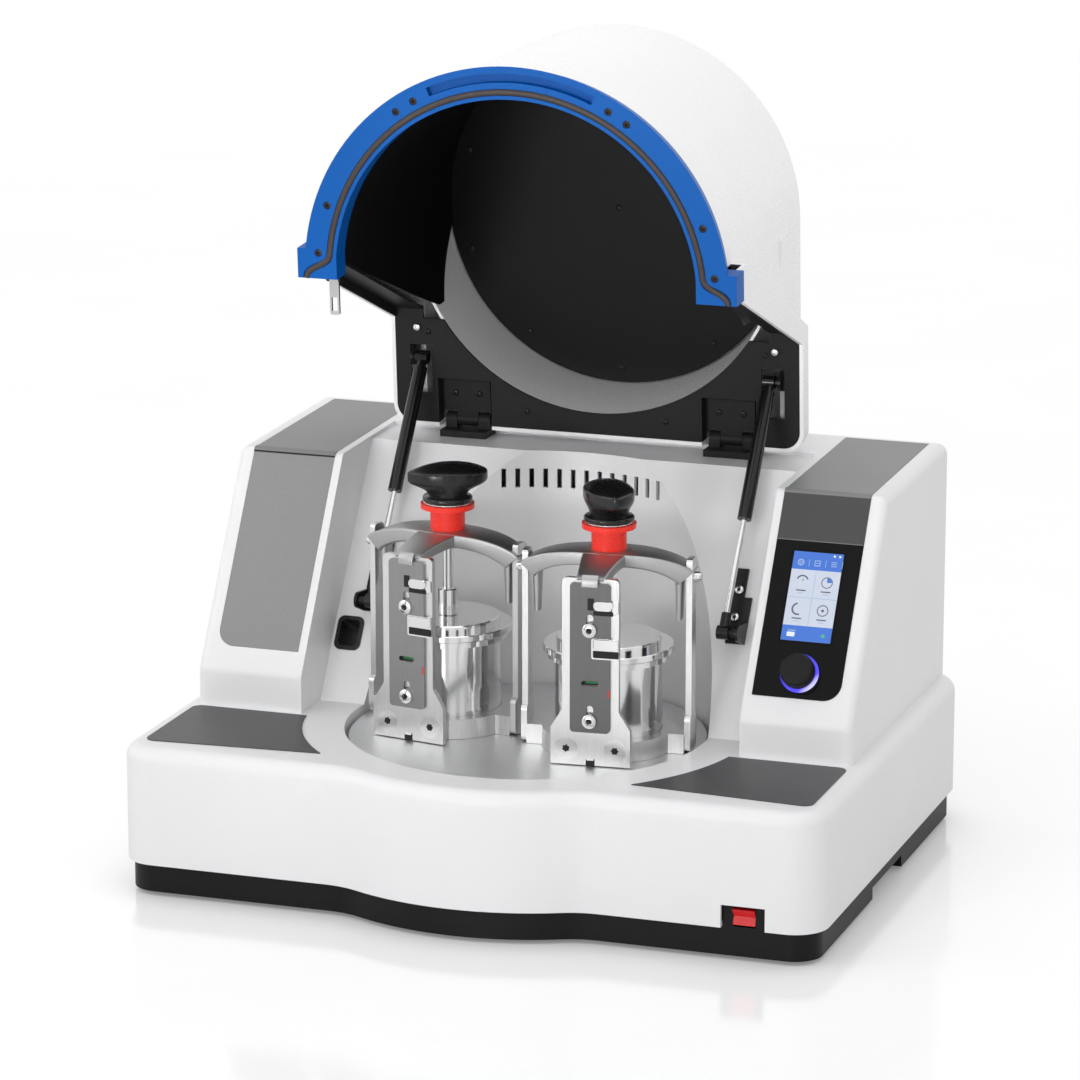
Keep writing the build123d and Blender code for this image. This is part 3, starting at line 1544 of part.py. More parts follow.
with BuildPart() as hinge_base_leaves:
    for side in sides:
        with Locations((side * hinge_x, base_leaf_front, saddle_height)):
            Box(
                hinge_width,
                base_leaf_rear - base_leaf_front,
                base_leaf_thickness,
                align=(Align.CENTER, Align.MIN, Align.MIN),
            )
        for end in sides:
            knuckle_x = side * hinge_x + end * (hinge_width - base_knuckle_width - 2) / 2
            with BuildSketch(Plane.YZ.offset(knuckle_x)):
                with Locations(hinge_centre):
                    Circle(knuckle_radius)
                with Locations((hinge_y, saddle_height)):
                    Rectangle(
                        2 * knuckle_radius,
                        hinge_height - saddle_height,
                        align=(Align.CENTER, Align.MIN),
                    )
            extrude(amount=base_knuckle_width / 2, both=True)
        with BuildSketch(Plane.YZ.offset(side * hinge_x)):
            with Locations(hinge_centre):
                Circle(hinge_pin_radius + running_fit)
        extrude(amount=hinge_width, both=True, mode=Mode.SUBTRACT)
keep("hinge_base_leaves", hinge_base_leaves.part)

with BuildPart() as hinge_pins:
    for side in sides:
        with BuildSketch(Plane.YZ.offset(side * hinge_x)):
            with Locations(hinge_centre):
                Circle(hinge_pin_radius)
        extrude(amount=hinge_width / 2, both=True)
keep("hinge_pins", hinge_pins.part)


# ======================================================================================
# Gas struts, drawn with the lid open, and what carries them
# ======================================================================================
slope_turn = math.radians(slope_angle)
foot_run = strut_foot_y - slope_foot
foot_rise = strut_foot_height - deck_height
pivot_along = foot_run * math.cos(slope_turn) + foot_rise * math.sin(slope_turn)
pivot_off = foot_rise * math.cos(slope_turn) - foot_run * math.sin(slope_turn)
strut_turn = math.radians(strut_angle)
strut_up = (0, math.cos(strut_turn), math.sin(strut_turn))
eye_side = strut_x + strut_eye_width / 2
stud_end = strut_x - strut_eye_width / 2 + 1
tube_start = strut_length - strut_cylinder_length
tube_end = strut_length - strut_neck_gap


def closed_lid_point(y, height):
    """Where a point of the opened lid lies when the lid is shut."""
    turn = math.radians(lid_open_angle)
    dy = y - hinge_y
    dz = height - hinge_height
    return (
        hinge_y + dy * math.cos(turn) - dz * math.sin(turn),
        hinge_height + dy * math.sin(turn) + dz * math.cos(turn),
    )


with BuildPart() as strut_studs:
    head_shut = closed_lid_point(strut_head_y, strut_head_height)
    ear_inner = eye_side + seat_gap + stud_stand
    for side in sides:
        with BuildSketch(Plane.YZ.offset(side * (ear_inner + lid_ear_thickness / 2))):
            with Locations(head_shut):
                Circle(lid_ear_radius)
            with Locations((lid_ear_front, plate_top)):
                Rectangle(lid_ear_rear - lid_ear_front, 1, align=(Align.MIN, Align.MIN))
            make_hull()
        extrude(amount=lid_ear_thickness / 2, both=True)
        with Locations((side * (ear_inner + lid_ear_base_outer) / 2, lid_ear_front, plate_top)):
            Box(
                lid_ear_base_outer - ear_inner,
                lid_ear_rear - lid_ear_front,
                lid_ear_base_height,
                align=(Align.CENTER, Align.MIN, Align.MIN),
            )
        with BuildSketch(Plane.YZ.offset(side * (ear_inner - stud_stand / 2))):
            with Locations(head_shut):
                Circle(stud_radius)
        extrude(amount=stud_stand / 2, both=True)
    # bright studs on the underside of the plate
    with BuildSketch(Plane.XY.offset(lid_plate_height)):
        for side in sides:
            with Locations((side * plate_stud[0], plate_stud[1])):
                Circle(plate_stud_radius)
    extrude(amount=-plate_stud_radius)
keep_lid("strut_studs", strut_studs.part)

with BuildPart() as strut_brackets:
    for side in sides:
        with BuildSketch(slope_plane):
            with Locations((side * (bracket_inner + bracket_outer) / 2, bracket_start)):
                Rectangle(
                    bracket_outer - bracket_inner,
                    bracket_step - bracket_start,
                    align=(Align.CENTER, Align.MIN),
                )
            with Locations((side * (bracket_inner + bracket_tab_outer) / 2, bracket_start)):
                Rectangle(
                    bracket_tab_outer - bracket_inner,
                    bracket_end - bracket_start,
                    align=(Align.CENTER, Align.MIN),
                )
        extrude(amount=bracket_thickness)
        with BuildSketch(slope_plane.offset(bracket_thickness)):
            with Locations(*[(side * bracket_screw_x, along) for along in bracket_screws]):
                Circle(screw_head_radius)
        extrude(amount=screw_head_height)
        ear_middle = side * (bracket_outer - bracket_ear_thickness / 2)
        beside_slope = Plane(
            origin=(ear_middle, slope_foot, deck_height),
            x_dir=(0, math.cos(slope_turn), math.sin(slope_turn)),
            z_dir=(1, 0, 0),
        )
        with BuildSketch(beside_slope):
            with Locations((pivot_along, pivot_off)):
                Circle(bracket_ear_radius)
            with Locations((bracket_start, 0)):
                Rectangle(3 * bracket_ear_radius, 1, align=(Align.MIN, Align.MIN))
            make_hull()
        extrude(amount=bracket_ear_thickness / 2, both=True)
        stud_middle = side * (bracket_outer + stud_end) / 2
        with BuildSketch(Plane.YZ.offset(stud_middle)):
            with Locations((strut_foot_y, strut_foot_height)):
                Circle(stud_radius)
        extrude(amount=(bracket_outer - stud_end) / 2, both=True)
keep("strut_brackets", strut_brackets.part)


def strut_plane(side):
    return Plane(
        origin=(side * strut_x, strut_foot_y, strut_foot_height), x_dir=(1, 0, 0), z_dir=strut_up
    )


def strut_rod(side):
    """Rod of a gas strut, with its lower eye and the piston on its hidden end."""
    plane = strut_plane(side)
    with BuildPart() as rod:
        with BuildSketch(Plane.YZ.offset(side * strut_x)):
            with Locations((strut_foot_y, strut_foot_height)):
                Circle(strut_eye_radius)
        extrude(amount=strut_eye_width / 2, both=True)
        with BuildSketch(plane):
            Circle(strut_neck_radius)
        extrude(amount=strut_neck_length)
        with BuildSketch(plane):
            Circle(strut_rod_radius)
        extrude(amount=strut_rod_end)
        with BuildSketch(plane.offset(strut_rod_end - strut_seal)):
            Circle(strut_cylinder_radius - strut_tube_wall - strut_piston_gap)
        extrude(amount=strut_seal)
        with BuildSketch(Plane.YZ.offset(side * strut_x)):
            with Locations((strut_foot_y, strut_foot_height)):
                Circle(stud_radius + running_fit)
        extrude(amount=strut_eye_width / 2, both=True, mode=Mode.SUBTRACT)
    return rod.part


def strut_cylinder(side):
    """Cylinder of a gas strut, with the seal that the rod runs in and its upper eye."""
    plane = strut_plane(side)
    head = (strut_head_y, strut_head_height)
    with BuildPart() as cylinder:
        with BuildSketch(plane.offset(tube_start)):
            Circle(strut_cylinder_radius)
        extrude(amount=tube_end - tube_start)
        with BuildSketch(plane.offset(tube_end)):
            Circle(strut_neck_radius)
        extrude(amount=strut_length - tube_end)
        with BuildSketch(Plane.YZ.offset(side * strut_x)):
            with Locations(head):
                Circle(strut_eye_radius)
        extrude(amount=strut_eye_width / 2, both=True)
        with BuildSketch(Plane.YZ.offset(side * strut_x)):
            with Locations(head):
                Circle(stud_radius + running_fit)
        extrude(amount=strut_eye_width / 2, both=True, mode=Mode.SUBTRACT)
        with BuildSketch(plane.offset(tube_start + strut_seal)):
            Circle(strut_cylinder_radius - strut_tube_wall)
        extrude(amount=tube_end - tube_start - strut_seal - 2, mode=Mode.SUBTRACT)
        with BuildSketch(plane.offset(tube_start)):
            Circle(strut_rod_radius + running_fit)
        extrude(amount=2 * strut_seal, mode=Mode.SUBTRACT)
    return cylinder.part


for name, side in (("left", -1), ("right", 1)):
    keep(f"{name}_strut_rod", strut_rod(side))
    keep(f"{name}_strut_cylinder", strut_cylinder(side))
print("struts done")


# ======================================================================================
# Electrics and cooling
# ======================================================================================
with BuildPart() as drive_inverter:
    with Locations((inverter_x, inverter_y, leg_bottom)):
        Box(*inverter_size, align=(Align.CENTER, Align.CENTER, Align.MIN))
    # cooling ribs on the outer side
    with Locations((inverter_x + inverter_size[0] / 2, inverter_y, leg_bottom + inverter_size[2] / 2)):
        with GridLocations(1, inverter_rib_pitch, 1, inverter_rib_count):
            Box(2 * inverter_rib_depth, inverter_rib_pitch / 2, inverter_size[2], mode=Mode.SUBTRACT)
keep("drive_inverter", drive_inverter.part)

with BuildPart() as mains_inlet:
    body_width = inlet_hole[0] - 2 * seat_gap
    body_tall = inlet_hole[1] - 2 * seat_gap
    with BuildSketch(Plane.XZ.offset(-housing_rear)):
        with Locations((inlet_x, inlet_height)):
            RectangleRounded(inlet_width, inlet_tall, inlet_flange)
    extrude(amount=-inlet_flange)
    with BuildSketch(Plane.XZ.offset(-housing_rear)):
        with Locations((inlet_x, inlet_height)):
            Rectangle(body_width, body_tall)
    extrude(amount=inlet_depth)
    with BuildSketch(Plane.XZ.offset(-housing_rear - inlet_flange)):
        with Locations((inlet_x, inlet_height)):
            Rectangle(body_width - 2 * inlet_socket_wall, body_tall - 2 * inlet_socket_wall)
    extrude(amount=inlet_socket_depth, mode=Mode.SUBTRACT)
    socket_floor = housing_rear + inlet_flange - inlet_socket_depth
    with BuildSketch(Plane.XZ.offset(-socket_floor)):
        with Locations((inlet_x, inlet_height)):
            with Locations((0, 2), (-inlet_pin_spread, -2), (inlet_pin_spread, -2)):
                Rectangle(*inlet_pin)
    extrude(amount=-(inlet_socket_depth - 5))
keep("mains_inlet", mains_inlet.part)

with BuildPart() as rear_vent_panel:
    with BuildSketch(Plane.XZ.offset(-pod_rear)):
        with Locations((fan_x, fan_height)):
            RectangleRounded(vent_panel_width, vent_panel_height, 2 * vent_panel_thickness)
            slot_pitch = 2 * vent_panel_slot_width
            with GridLocations(slot_pitch, 1, vent_panel_slots, 1):
                SlotOverall(
                    vent_panel_slot_length, vent_panel_slot_width, rotation=90, mode=Mode.SUBTRACT
                )
    extrude(amount=-vent_panel_thickness)
keep("rear_vent_panel", rear_vent_panel.part)

fan_rear = pod_rear - housing_wall
fan_front = fan_rear - fan_depth
fan_plane = Plane.XZ.offset(-fan_rear)
hub_front = fan_front + fan_strut_depth + seat_gap
with BuildPart() as cooling_fan:
    with BuildSketch(fan_plane):
        with Locations((fan_x, fan_height)):
            RectangleRounded(fan_size, fan_size, 5)
            Circle(fan_bore_radius, mode=Mode.SUBTRACT)
            with GridLocations(fan_size - 10, fan_size - 10, 2, 2):
                Circle(2.2, mode=Mode.SUBTRACT)
    extrude(amount=fan_depth)
    # motor cup on four struts at the inner side, with the pin that the impeller turns on
    with BuildSketch(Plane.XZ.offset(-fan_front)):
        with Locations((fan_x, fan_height)):
            Circle(fan_hub_radius)
            Rectangle(2 * fan_bore_radius + 1, 5)
            Rectangle(5, 2 * fan_bore_radius + 1)
    extrude(amount=-fan_strut_depth)
    with BuildSketch(Plane.XZ.offset(-fan_front)):
        with Locations((fan_x, fan_height)):
            Circle(fan_pin_radius)
    extrude(amount=-(fan_depth - 3))
keep("cooling_fan", cooling_fan.part)

with BuildPart() as fan_impeller:
    with BuildSketch(Plane.XZ.offset(-hub_front)):
        with Locations((fan_x, fan_height)):
            Circle(fan_hub_radius)
            with PolarLocations(0, fan_blade_count):
                with Locations((fan_blade_radius / 2, 0)):
                    Rectangle(fan_blade_radius, 3, rotation=0)
    extrude(amount=-(fan_rear - hub_front - 2))
    with BuildSketch(Plane.XZ.offset(-hub_front)):
        with Locations((fan_x, fan_height)):
            Circle(fan_pin_radius + running_fit)
    extrude(amount=-fan_depth, mode=Mode.SUBTRACT)
keep("fan_impeller", fan_impeller.part)
print("all pieces written")
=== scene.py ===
import math

import bmesh
import bpy
from mathutils import Matrix, Vector


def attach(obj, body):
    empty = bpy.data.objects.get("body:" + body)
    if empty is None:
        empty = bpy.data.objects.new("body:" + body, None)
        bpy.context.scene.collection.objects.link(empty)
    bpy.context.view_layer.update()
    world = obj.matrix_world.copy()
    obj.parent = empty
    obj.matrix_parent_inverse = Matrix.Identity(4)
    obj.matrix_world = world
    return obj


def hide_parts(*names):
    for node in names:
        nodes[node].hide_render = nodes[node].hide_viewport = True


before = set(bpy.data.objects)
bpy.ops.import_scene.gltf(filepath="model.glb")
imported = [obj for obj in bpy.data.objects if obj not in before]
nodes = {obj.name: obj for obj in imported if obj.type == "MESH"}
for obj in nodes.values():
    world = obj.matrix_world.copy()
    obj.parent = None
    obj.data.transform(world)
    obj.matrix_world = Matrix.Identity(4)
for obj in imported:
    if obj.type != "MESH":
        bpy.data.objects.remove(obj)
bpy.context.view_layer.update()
scene = bpy.context.scene
mm = 0.001

# places in the drawing of the mill: millimetres from the turntable axis at bench level
layout = {
    "driveBack": -54.5,  # the turntable axis, seen from the frame's origin
    "hinge": (228.7, 408.5),  # back and up, of the lid's hinge line
    "lidOpen": 86.2,  # degrees from shut
    "drumCentre": 12.3,  # back of the turntable axis, with the lid shut
    "turntableTop": 145.3,
    "stationRadius": 90.0,
    "stationLine": {"left": 172.0, "right": -8.0},
    "stationTurn": {"left": -10.7, "right": 5.0},
    "knobTurn": {"left": 31.0, "right": 118.0},
    "podFoot": (-21.0, 210.0),
    "podLean": 59.036,
    "podLength": 215.74,
    "slopeFoot": (19.0, 152.5),
    "slopeLean": 57.198,
    "strutFoot": (54.0, 252.2),
    "strutHead": (208.3, 475.4),
    "display": (284.5, 107.0),  # on the pod's leaning front, as the two below
    "encoder": (284.5, 28.0),
    "fasciaLine": 164.0,
}


def srgb(red, green, blue):
    def linear(c):
        c /= 255
        return c / 12.92 if c <= 0.04045 else ((c + 0.055) / 1.055) ** 2.4

    return (linear(red), linear(green), linear(blue))


def leaningFace(foot, lean):
    # place of a front that leans back, with its x across and its y up the slope
    a = math.radians(lean)
    turn = Matrix(((1, 0, 0), (0, math.cos(a), -math.sin(a)), (0, math.sin(a), math.cos(a))))
    return Matrix.Translation((0, foot[0], foot[1])) @ turn.to_4x4()


drawing = Matrix.Scale(mm, 4) @ Matrix.Translation((0, layout["driveBack"], 0))
hingePoint = Vector((0, *layout["hinge"]))
openLid = (
    Matrix.Translation(hingePoint)
    @ Matrix.Rotation(math.radians(-layout["lidOpen"]), 4, "X")
    @ Matrix.Translation(-hingePoint)
)
lidDrawing = drawing @ openLid
podFace = drawing @ leaningFace(layout["podFoot"], layout["podLean"])
slopeFace = drawing @ leaningFace(layout["slopeFoot"], layout["slopeLean"])
stationPlace = {}
knobPlace = {}
for side in ("left", "right"):
    line = math.radians(layout["stationLine"][side])
    spot = Vector((math.cos(line), math.sin(line), 0)) * layout["stationRadius"]
    spot.z = layout["turntableTop"]
    for places, turn in ((stationPlace, "stationTurn"), (knobPlace, "knobTurn")):
        turned = Matrix.Rotation(math.radians(layout[turn][side]), 4, "Z")
        places[side] = drawing @ Matrix.Translation(spot) @ turned


# the shapes below are drawn in millimetres, and a place sets each into the frame
def circlePoints(radius, steps, start=0.0, sweep=360.0):
    whole = abs(sweep) >= 360
    count = steps if whole else steps + 1
    angles = [math.radians(start + sweep * i / steps) for i in range(count)]
    return [(radius * math.cos(a), radius * math.sin(a)) for a in angles]


def roundedOutline(width, height, radius, steps=5, centre=(0, 0)):
    points = []
    corners = ((1, 1, 0), (-1, 1, 90), (-1, -1, 180), (1, -1, 270))
    for sx, sy, start in corners:
        cx = centre[0] + sx * (width / 2 - radius)
        cy = centre[1] + sy * (height / 2 - radius)
        points += [(cx + x, cy + y) for x, y in circlePoints(radius, steps, start, 90)]
    return points


def addLoft(bm, rings, closedLoop=False, part=0):
    made = [[bm.verts.new(p) for p in ring] for ring in rings]
    pairs = list(zip(made, made[1:]))
    if closedLoop:
        pairs.append((made[-1], made[0]))
    for low, high in pairs:
        for i in range(len(low)):
            j = (i + 1) % len(low)
            bm.faces.new((low[i], low[j], high[j], high[i])).material_index = part
    if not closedLoop:
        bm.faces.new(list(reversed(made[0]))).material_index = part
        bm.faces.new(made[-1]).material_index = part


def addPrism(bm, outline, low, high, part=0, bevel=0.0):
    rings = [(outline, low)]
    if bevel:
        across, up = zip(*outline)
        middle = Vector((sum(across), sum(up))) / len(outline)
        far = max((Vector(p) - middle).length for p in outline)
        inner = [tuple(middle + (Vector(p) - middle) * (1 - bevel / far)) for p in outline]
        rings += [(outline, high - bevel), (inner, high)]
    else:
        rings.append((outline, high))
    addLoft(bm, [[(x, y, z) for x, y in ring] for ring, z in rings], part=part)


def addBlocks(bm, blocks):
    # rounded blocks: width, height, corner, centre, low face, high face, finish, bevel
    for width, height, corner, centre, low, high, part, bevel in blocks:
        outline = roundedOutline(width, height, corner, centre=centre)
        addPrism(bm, outline, low, high, part, bevel)


def addLathe(bm, profile, steps=48, centre=(0, 0), hollow=False):
    rings = []
    for radius, z in profile:
        ring = circlePoints(max(radius, 0.02), steps)
        rings.append([(centre[0] + x, centre[1] + y, z) for x, y in ring])
    addLoft(bm, rings, closedLoop=hollow)


def finishMesh(name, bm, place, sharp=32):
    bm.transform(place)
    bmesh.ops.recalc_face_normals(bm, faces=bm.faces)
    for face in bm.faces:
        face.smooth = True
    for edge in bm.edges:
        edge.smooth = edge.calc_face_angle(0) < math.radians(sharp)
    data = bpy.data.meshes.new(name)
    bm.to_mesh(data)
    bm.free()
    return data


def addPiece(name, data, finishes, body, standsFor=()):
    piece = bpy.data.objects.new(name, data)
    scene.collection.objects.link(piece)
    if not data.materials:
        for finish in finishes:
            data.materials.append(finish)
    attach(piece, body)
    if standsFor:
        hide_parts(*standsFor)


def newFinish(name, colour, roughness, metallic=0.0, specular=0.5):
    material = bpy.data.materials.new(name)
    material.use_nodes = True
    shader = material.node_tree.nodes["Principled BSDF"]
    shader.inputs["Base Color"].default_value = (*colour, 1)
    shader.inputs["Roughness"].default_value = roughness
    shader.inputs["Metallic"].default_value = metallic
    shader.inputs["Specular IOR Level"].default_value = specular
    return material


def addNode(material, kind, **values):
    node = material.node_tree.nodes.new(kind)
    for key, value in values.items():
        if key in node.bl_rna.properties:
            setattr(node, key, value)
        else:
            node.inputs[key.replace("_", " ")].default_value = value
    return node


def join(material, source, target):
    material.node_tree.links.new(source, target)


def shaderOf(material):
    return material.node_tree.nodes["Principled BSDF"]


def noiseOver(material, scale, stretch=(1, 1, 1), detail=3.0):
    where = addNode(material, "ShaderNodeTexCoord")
    mapping = addNode(material, "ShaderNodeMapping", Scale=stretch)
    noise = addNode(material, "ShaderNodeTexNoise", Scale=scale, Detail=detail)
    join(material, where.outputs["Object"], mapping.inputs["Vector"])
    join(material, mapping.outputs["Vector"], noise.inputs["Vector"])
    return noise.outputs["Fac"]


def varyColour(material, source, dark, light, low=0.35, high=0.65):
    ramp = addNode(material, "ShaderNodeValToRGB")
    ramp.color_ramp.elements[0].position = low
    ramp.color_ramp.elements[1].position = high
    ramp.color_ramp.elements[0].color = (*dark, 1)
    ramp.color_ramp.elements[1].color = (*light, 1)
    join(material, source, ramp.inputs["Fac"])
    join(material, ramp.outputs["Color"], shaderOf(material).inputs["Base Color"])


def varyRoughness(material, source, low, high):
    spread = addNode(material, "ShaderNodeMapRange", To_Min=low, To_Max=high)
    join(material, source, spread.inputs["Value"])
    join(material, spread.outputs["Result"], shaderOf(material).inputs["Roughness"])


def addBump(material, source, depth):
    bump = addNode(material, "ShaderNodeBump", Distance=depth * mm)
    join(material, source, bump.inputs["Height"])
    join(material, bump.outputs["Normal"], shaderOf(material).inputs["Normal"])


def scaled(colour, share):
    return tuple(min(1.0, c * share) for c in colour)


def mouldedFinish(name, colour, roughness, grain=900.0, depth=0.02, spread=0.03, shine=0.4):
    finish = newFinish(name, colour, roughness, specular=shine)
    broad = noiseOver(finish, 7.0)
    varyColour(finish, broad, scaled(colour, 1 - spread), scaled(colour, 1 + spread))
    fine = noiseOver(finish, grain, detail=2.0)
    varyRoughness(finish, fine, roughness - 0.06, roughness + 0.06)
    addBump(finish, fine, depth)
    return finish


def brushedFinish(name, colour, roughness, stretch, scale=60.0, spread=0.12, depth=0.01):
    finish = newFinish(name, colour, roughness, metallic=1.0)
    lines = noiseOver(finish, scale, stretch=stretch, detail=4.0)
    varyColour(finish, lines, scaled(colour, 1 - spread), scaled(colour, 1 + spread / 2))
    varyRoughness(finish, lines, roughness - 0.08, roughness + 0.1)
    addBump(finish, lines, depth)
    return finish


def turnedFinish(name, colour, roughness, centre, pitch=0.8, spread=0.08, depth=0.004):
    # rings round an upright axis, as a lathe leaves them
    finish = newFinish(name, colour, roughness, metallic=1.0)
    where = addNode(finish, "ShaderNodeTexCoord")
    mapping = addNode(finish, "ShaderNodeMapping", Location=(-centre[0], -centre[1], 0))
    split = addNode(finish, "ShaderNodeSeparateXYZ")
    flat = addNode(finish, "ShaderNodeCombineXYZ")
    length = addNode(finish, "ShaderNodeVectorMath", operation="LENGTH")
    both = addNode(finish, "ShaderNodeMath", operation="ADD")
    along = addNode(finish, "ShaderNodeCombineXYZ")
    noise = addNode(finish, "ShaderNodeTexNoise", Scale=1.0 / (pitch * mm), Detail=3.0)
    join(finish, where.outputs["Object"], mapping.inputs["Vector"])
    join(finish, mapping.outputs["Vector"], split.inputs["Vector"])
    join(finish, split.outputs["X"], flat.inputs["X"])
    join(finish, split.outputs["Y"], flat.inputs["Y"])
    join(finish, flat.outputs["Vector"], length.inputs[0])
    join(finish, length.outputs["Value"], both.inputs[0])
    join(finish, split.outputs["Z"], both.inputs[1])
    join(finish, both.outputs["Value"], along.inputs["X"])
    join(finish, along.outputs["Vector"], noise.inputs["Vector"])
    lines = noise.outputs["Fac"]
    varyColour(finish, lines, scaled(colour, 1 - spread), scaled(colour, 1 + spread / 2))
    varyRoughness(finish, lines, roughness - 0.03, roughness + 0.05)
    addBump(finish, lines, depth)
    return finish


def alongDirection(material, direction, offset):
    # distance in metres of a point along a direction, from the offset
    where = addNode(material, "ShaderNodeTexCoord")
    along = addNode(material, "ShaderNodeVectorMath", operation="DOT_PRODUCT")
    along.inputs[1].default_value = direction
    less = addNode(material, "ShaderNodeMath", operation="SUBTRACT")
    less.inputs[1].default_value = offset
    join(material, where.outputs["Object"], along.inputs[0])
    join(material, along.outputs["Value"], less.inputs[0])
    return less.outputs["Value"]


def stepMask(material, source, low, high):
    mask = addNode(material, "ShaderNodeMapRange", From_Min=low, From_Max=high)
    join(material, source, mask.inputs["Value"])
    return mask.outputs["Result"]


def mixColours(material, mask, first, second):
    blend = addNode(material, "ShaderNodeMix", data_type="RGBA")
    blend.inputs[6].default_value = (*first, 1)
    blend.inputs[7].default_value = (*second, 1)
    join(material, mask, blend.inputs[0])
    join(material, blend.outputs[2], shaderOf(material).inputs["Base Color"])


grilleGrey = srgb(136, 136, 137)
steel = (0.74, 0.74, 0.735)
polish = (0.8, 0.8, 0.8)

moulded = {  # colour, roughness, grain, its depth, spread of the colour, shine
    "whiteHousing": (srgb(233, 233, 234), 0.36, 700, 0.012, 0.012),
    "whiteLid": (srgb(248, 248, 249), 0.26, 500, 0.008, 0.01, 0.5),
    "rimBlue": (srgb(0, 88, 170), 0.42, 600, 0.01, 0.03, 0.15),
    "plinthBlack": (srgb(18, 18, 19), 0.42, 1400, 0.03, 0.06, 0.2),
    "footRubber": (srgb(28, 28, 28), 0.75, 900, 0.05, 0.08, 0.2),
    "padAnthracite": (srgb(60, 60, 62), 0.42, 1600, 0.04, 0.05, 0.5),
    "panelGrey": (srgb(126, 126, 127), 0.4, 1200, 0.02, 0.03, 0.35),
    "plateBlack": (srgb(34, 34, 35), 0.44, 1300, 0.03, 0.06, 0.16),
    "linerBlack": (srgb(17, 17, 18), 0.4, 1000, 0.02, 0.06, 0.14),
    "knobBlack": (srgb(20, 20, 21), 0.26, 900, 0.01, 0.05, 0.5),
    "encoderBlack": (srgb(24, 24, 25), 0.4, 900, 0.02, 0.05, 0.2),
    "screwBrown": (srgb(44, 36, 33), 0.36, 900, 0.02, 0.08),
    "screwBlack": (srgb(20, 20, 20), 0.34, 900, 0.02, 0.06, 0.3),
    "sealBrown": (srgb(58, 50, 48), 0.4, 800, 0.03, 0.08),
    "collarRed": (srgb(242, 50, 36), 0.28, 800, 0.01),
    "rockerRed": (srgb(214, 24, 30), 0.22, 800, 0.01),
    "strutTube": (srgb(18, 18, 19), 0.18, 500, 0.006, 0.05),
    "motorPaint": (srgb(92, 96, 104), 0.5, 500, 0.1, 0.05),
    "chassisPaint": (srgb(120, 122, 126), 0.5, 700, 0.05, 0.05),
    "beltBlack": (srgb(32, 32, 32), 0.8, 900, 0.06, 0.08),
    "casingBlack": (srgb(38, 38, 40), 0.5, 1000, 0.05, 0.06, 0.25),
    "stateGreen": (srgb(20, 120, 60), 0.4),
    "stateRed": (srgb(214, 50, 40), 0.4),
    # painted shade: a flat near-black for the floors of screw sockets and for slots and notches,
    # where only shade falls; it also colours the dark joints beside the pod strips
    "recessShadeAndJointDark": (srgb(18, 18, 18), 0.6),
    "cardBlack": (srgb(20, 20, 20), 0.9, 900, 0.02, 0.03, 0.0),
}
brushed = {  # colour, roughness, stretch of the lines, their scale, spread, depth
    "bearingSteel": (steel, 0.3, (1, 1, 12)),
    "steelPlate": (steel, 0.32, (1, 1, 0.05), 900, 0.05, 0.003),
    "bridgeSteel": (scaled(steel, 0.62), 0.4, (1, 1, 1), 900, 0.05, 0.006),
    # one steel for both sliders, painted lighter on the left and darker on the right: painted light
    # and shade
    "leftSliderSteel": (srgb(150, 150, 150), 0.42, (1, 1, 0.05), 900, 0.05, 0.003),
    "rightSliderSteel": (srgb(108, 108, 108), 0.42, (1, 1, 0.05), 900, 0.05, 0.003),
}
polished = {  # roughness, grain, and the roughness it runs between
    "brightScrew": (0.22, 400, 0.16, 0.3),
    "hookChrome": (0.14, 300, 0.1, 0.2),
}
look = {name: mouldedFinish(name, *values) for name, values in moulded.items()}
for name, values in brushed.items():
    look[name] = brushedFinish(name, *values)
for name, (roughness, grain, smooth, rough) in polished.items():
    look[name] = newFinish(name, polish, roughness, metallic=1.0)
    varyRoughness(look[name], noiseOver(look[name], grain), smooth, rough)
tableCentre = drawing @ Vector((0, 0, 0))
look["turntableMetal"] = turnedFinish(
    "turntableMetal", (0.82, 0.825, 0.83), 0.4, tableCentre, 1.0, 0.1
)
for side in ("left", "right"):
    name = f"{side}JarSteel"
    axis = stationPlace[side] @ Vector((0, 0, 0))
    look[name] = turnedFinish(name, polish, 0.1, axis, 0.7, 0.04)

# the left grille: a fine punched sheet
grilleSheet = newFinish("grilleSheet", grilleGrey, 0.45)
grilleWhere = addNode(grilleSheet, "ShaderNodeTexCoord")
grilleDots = addNode(grilleSheet, "ShaderNodeTexVoronoi", Scale=900.0, Randomness=0.6)
join(grilleSheet, grilleWhere.outputs["Object"], grilleDots.inputs["Vector"])
varyColour(
    grilleSheet, grilleDots.outputs["Distance"], scaled(grilleGrey, 0.78),
    scaled(grilleGrey, 1.06), 0.1, 0.4,
)
addBump(grilleSheet, grilleDots.outputs["Distance"], 0.12)

# the right fascia: dark grey above, gloss black below the line over the display
podUp = (podFace.to_3x3() @ Vector((0, 1, 0))).normalized()
lineUp = podUp.dot(podFace @ Vector((0, 0, 0))) + layout["fasciaLine"] * mm
fasciaBlack = newFinish("fasciaBlack", srgb(12, 12, 12), 0.12, specular=0.14)
fasciaMask = stepMask(
    fasciaBlack, alongDirection(fasciaBlack, podUp, lineUp), -0.2 * mm, 0.2 * mm
)
mixColours(fasciaBlack, fasciaMask, srgb(12, 12, 12), srgb(78, 78, 79))
varyRoughness(fasciaBlack, fasciaMask, 0.12, 0.42)

# rods of the gas struts: black end fittings and bright rods
strutFoot = Vector((0, *layout["strutFoot"]))
strutUp = (Vector((0, *layout["strutHead"])) - strutFoot).normalized()
fittingEnd = strutUp.dot(drawing @ strutFoot) + 20.2 * mm
strutRod = newFinish("strutRod", polish, 0.2, metallic=1.0)
rodMask = stepMask(
    strutRod, alongDirection(strutRod, strutUp, fittingEnd), -0.1 * mm, 0.1 * mm
)
mixColours(strutRod, rodMask, srgb(18, 18, 18), polish)
join(strutRod, rodMask, shaderOf(strutRod).inputs["Metallic"])
varyRoughness(strutRod, rodMask, 0.35, 0.18)


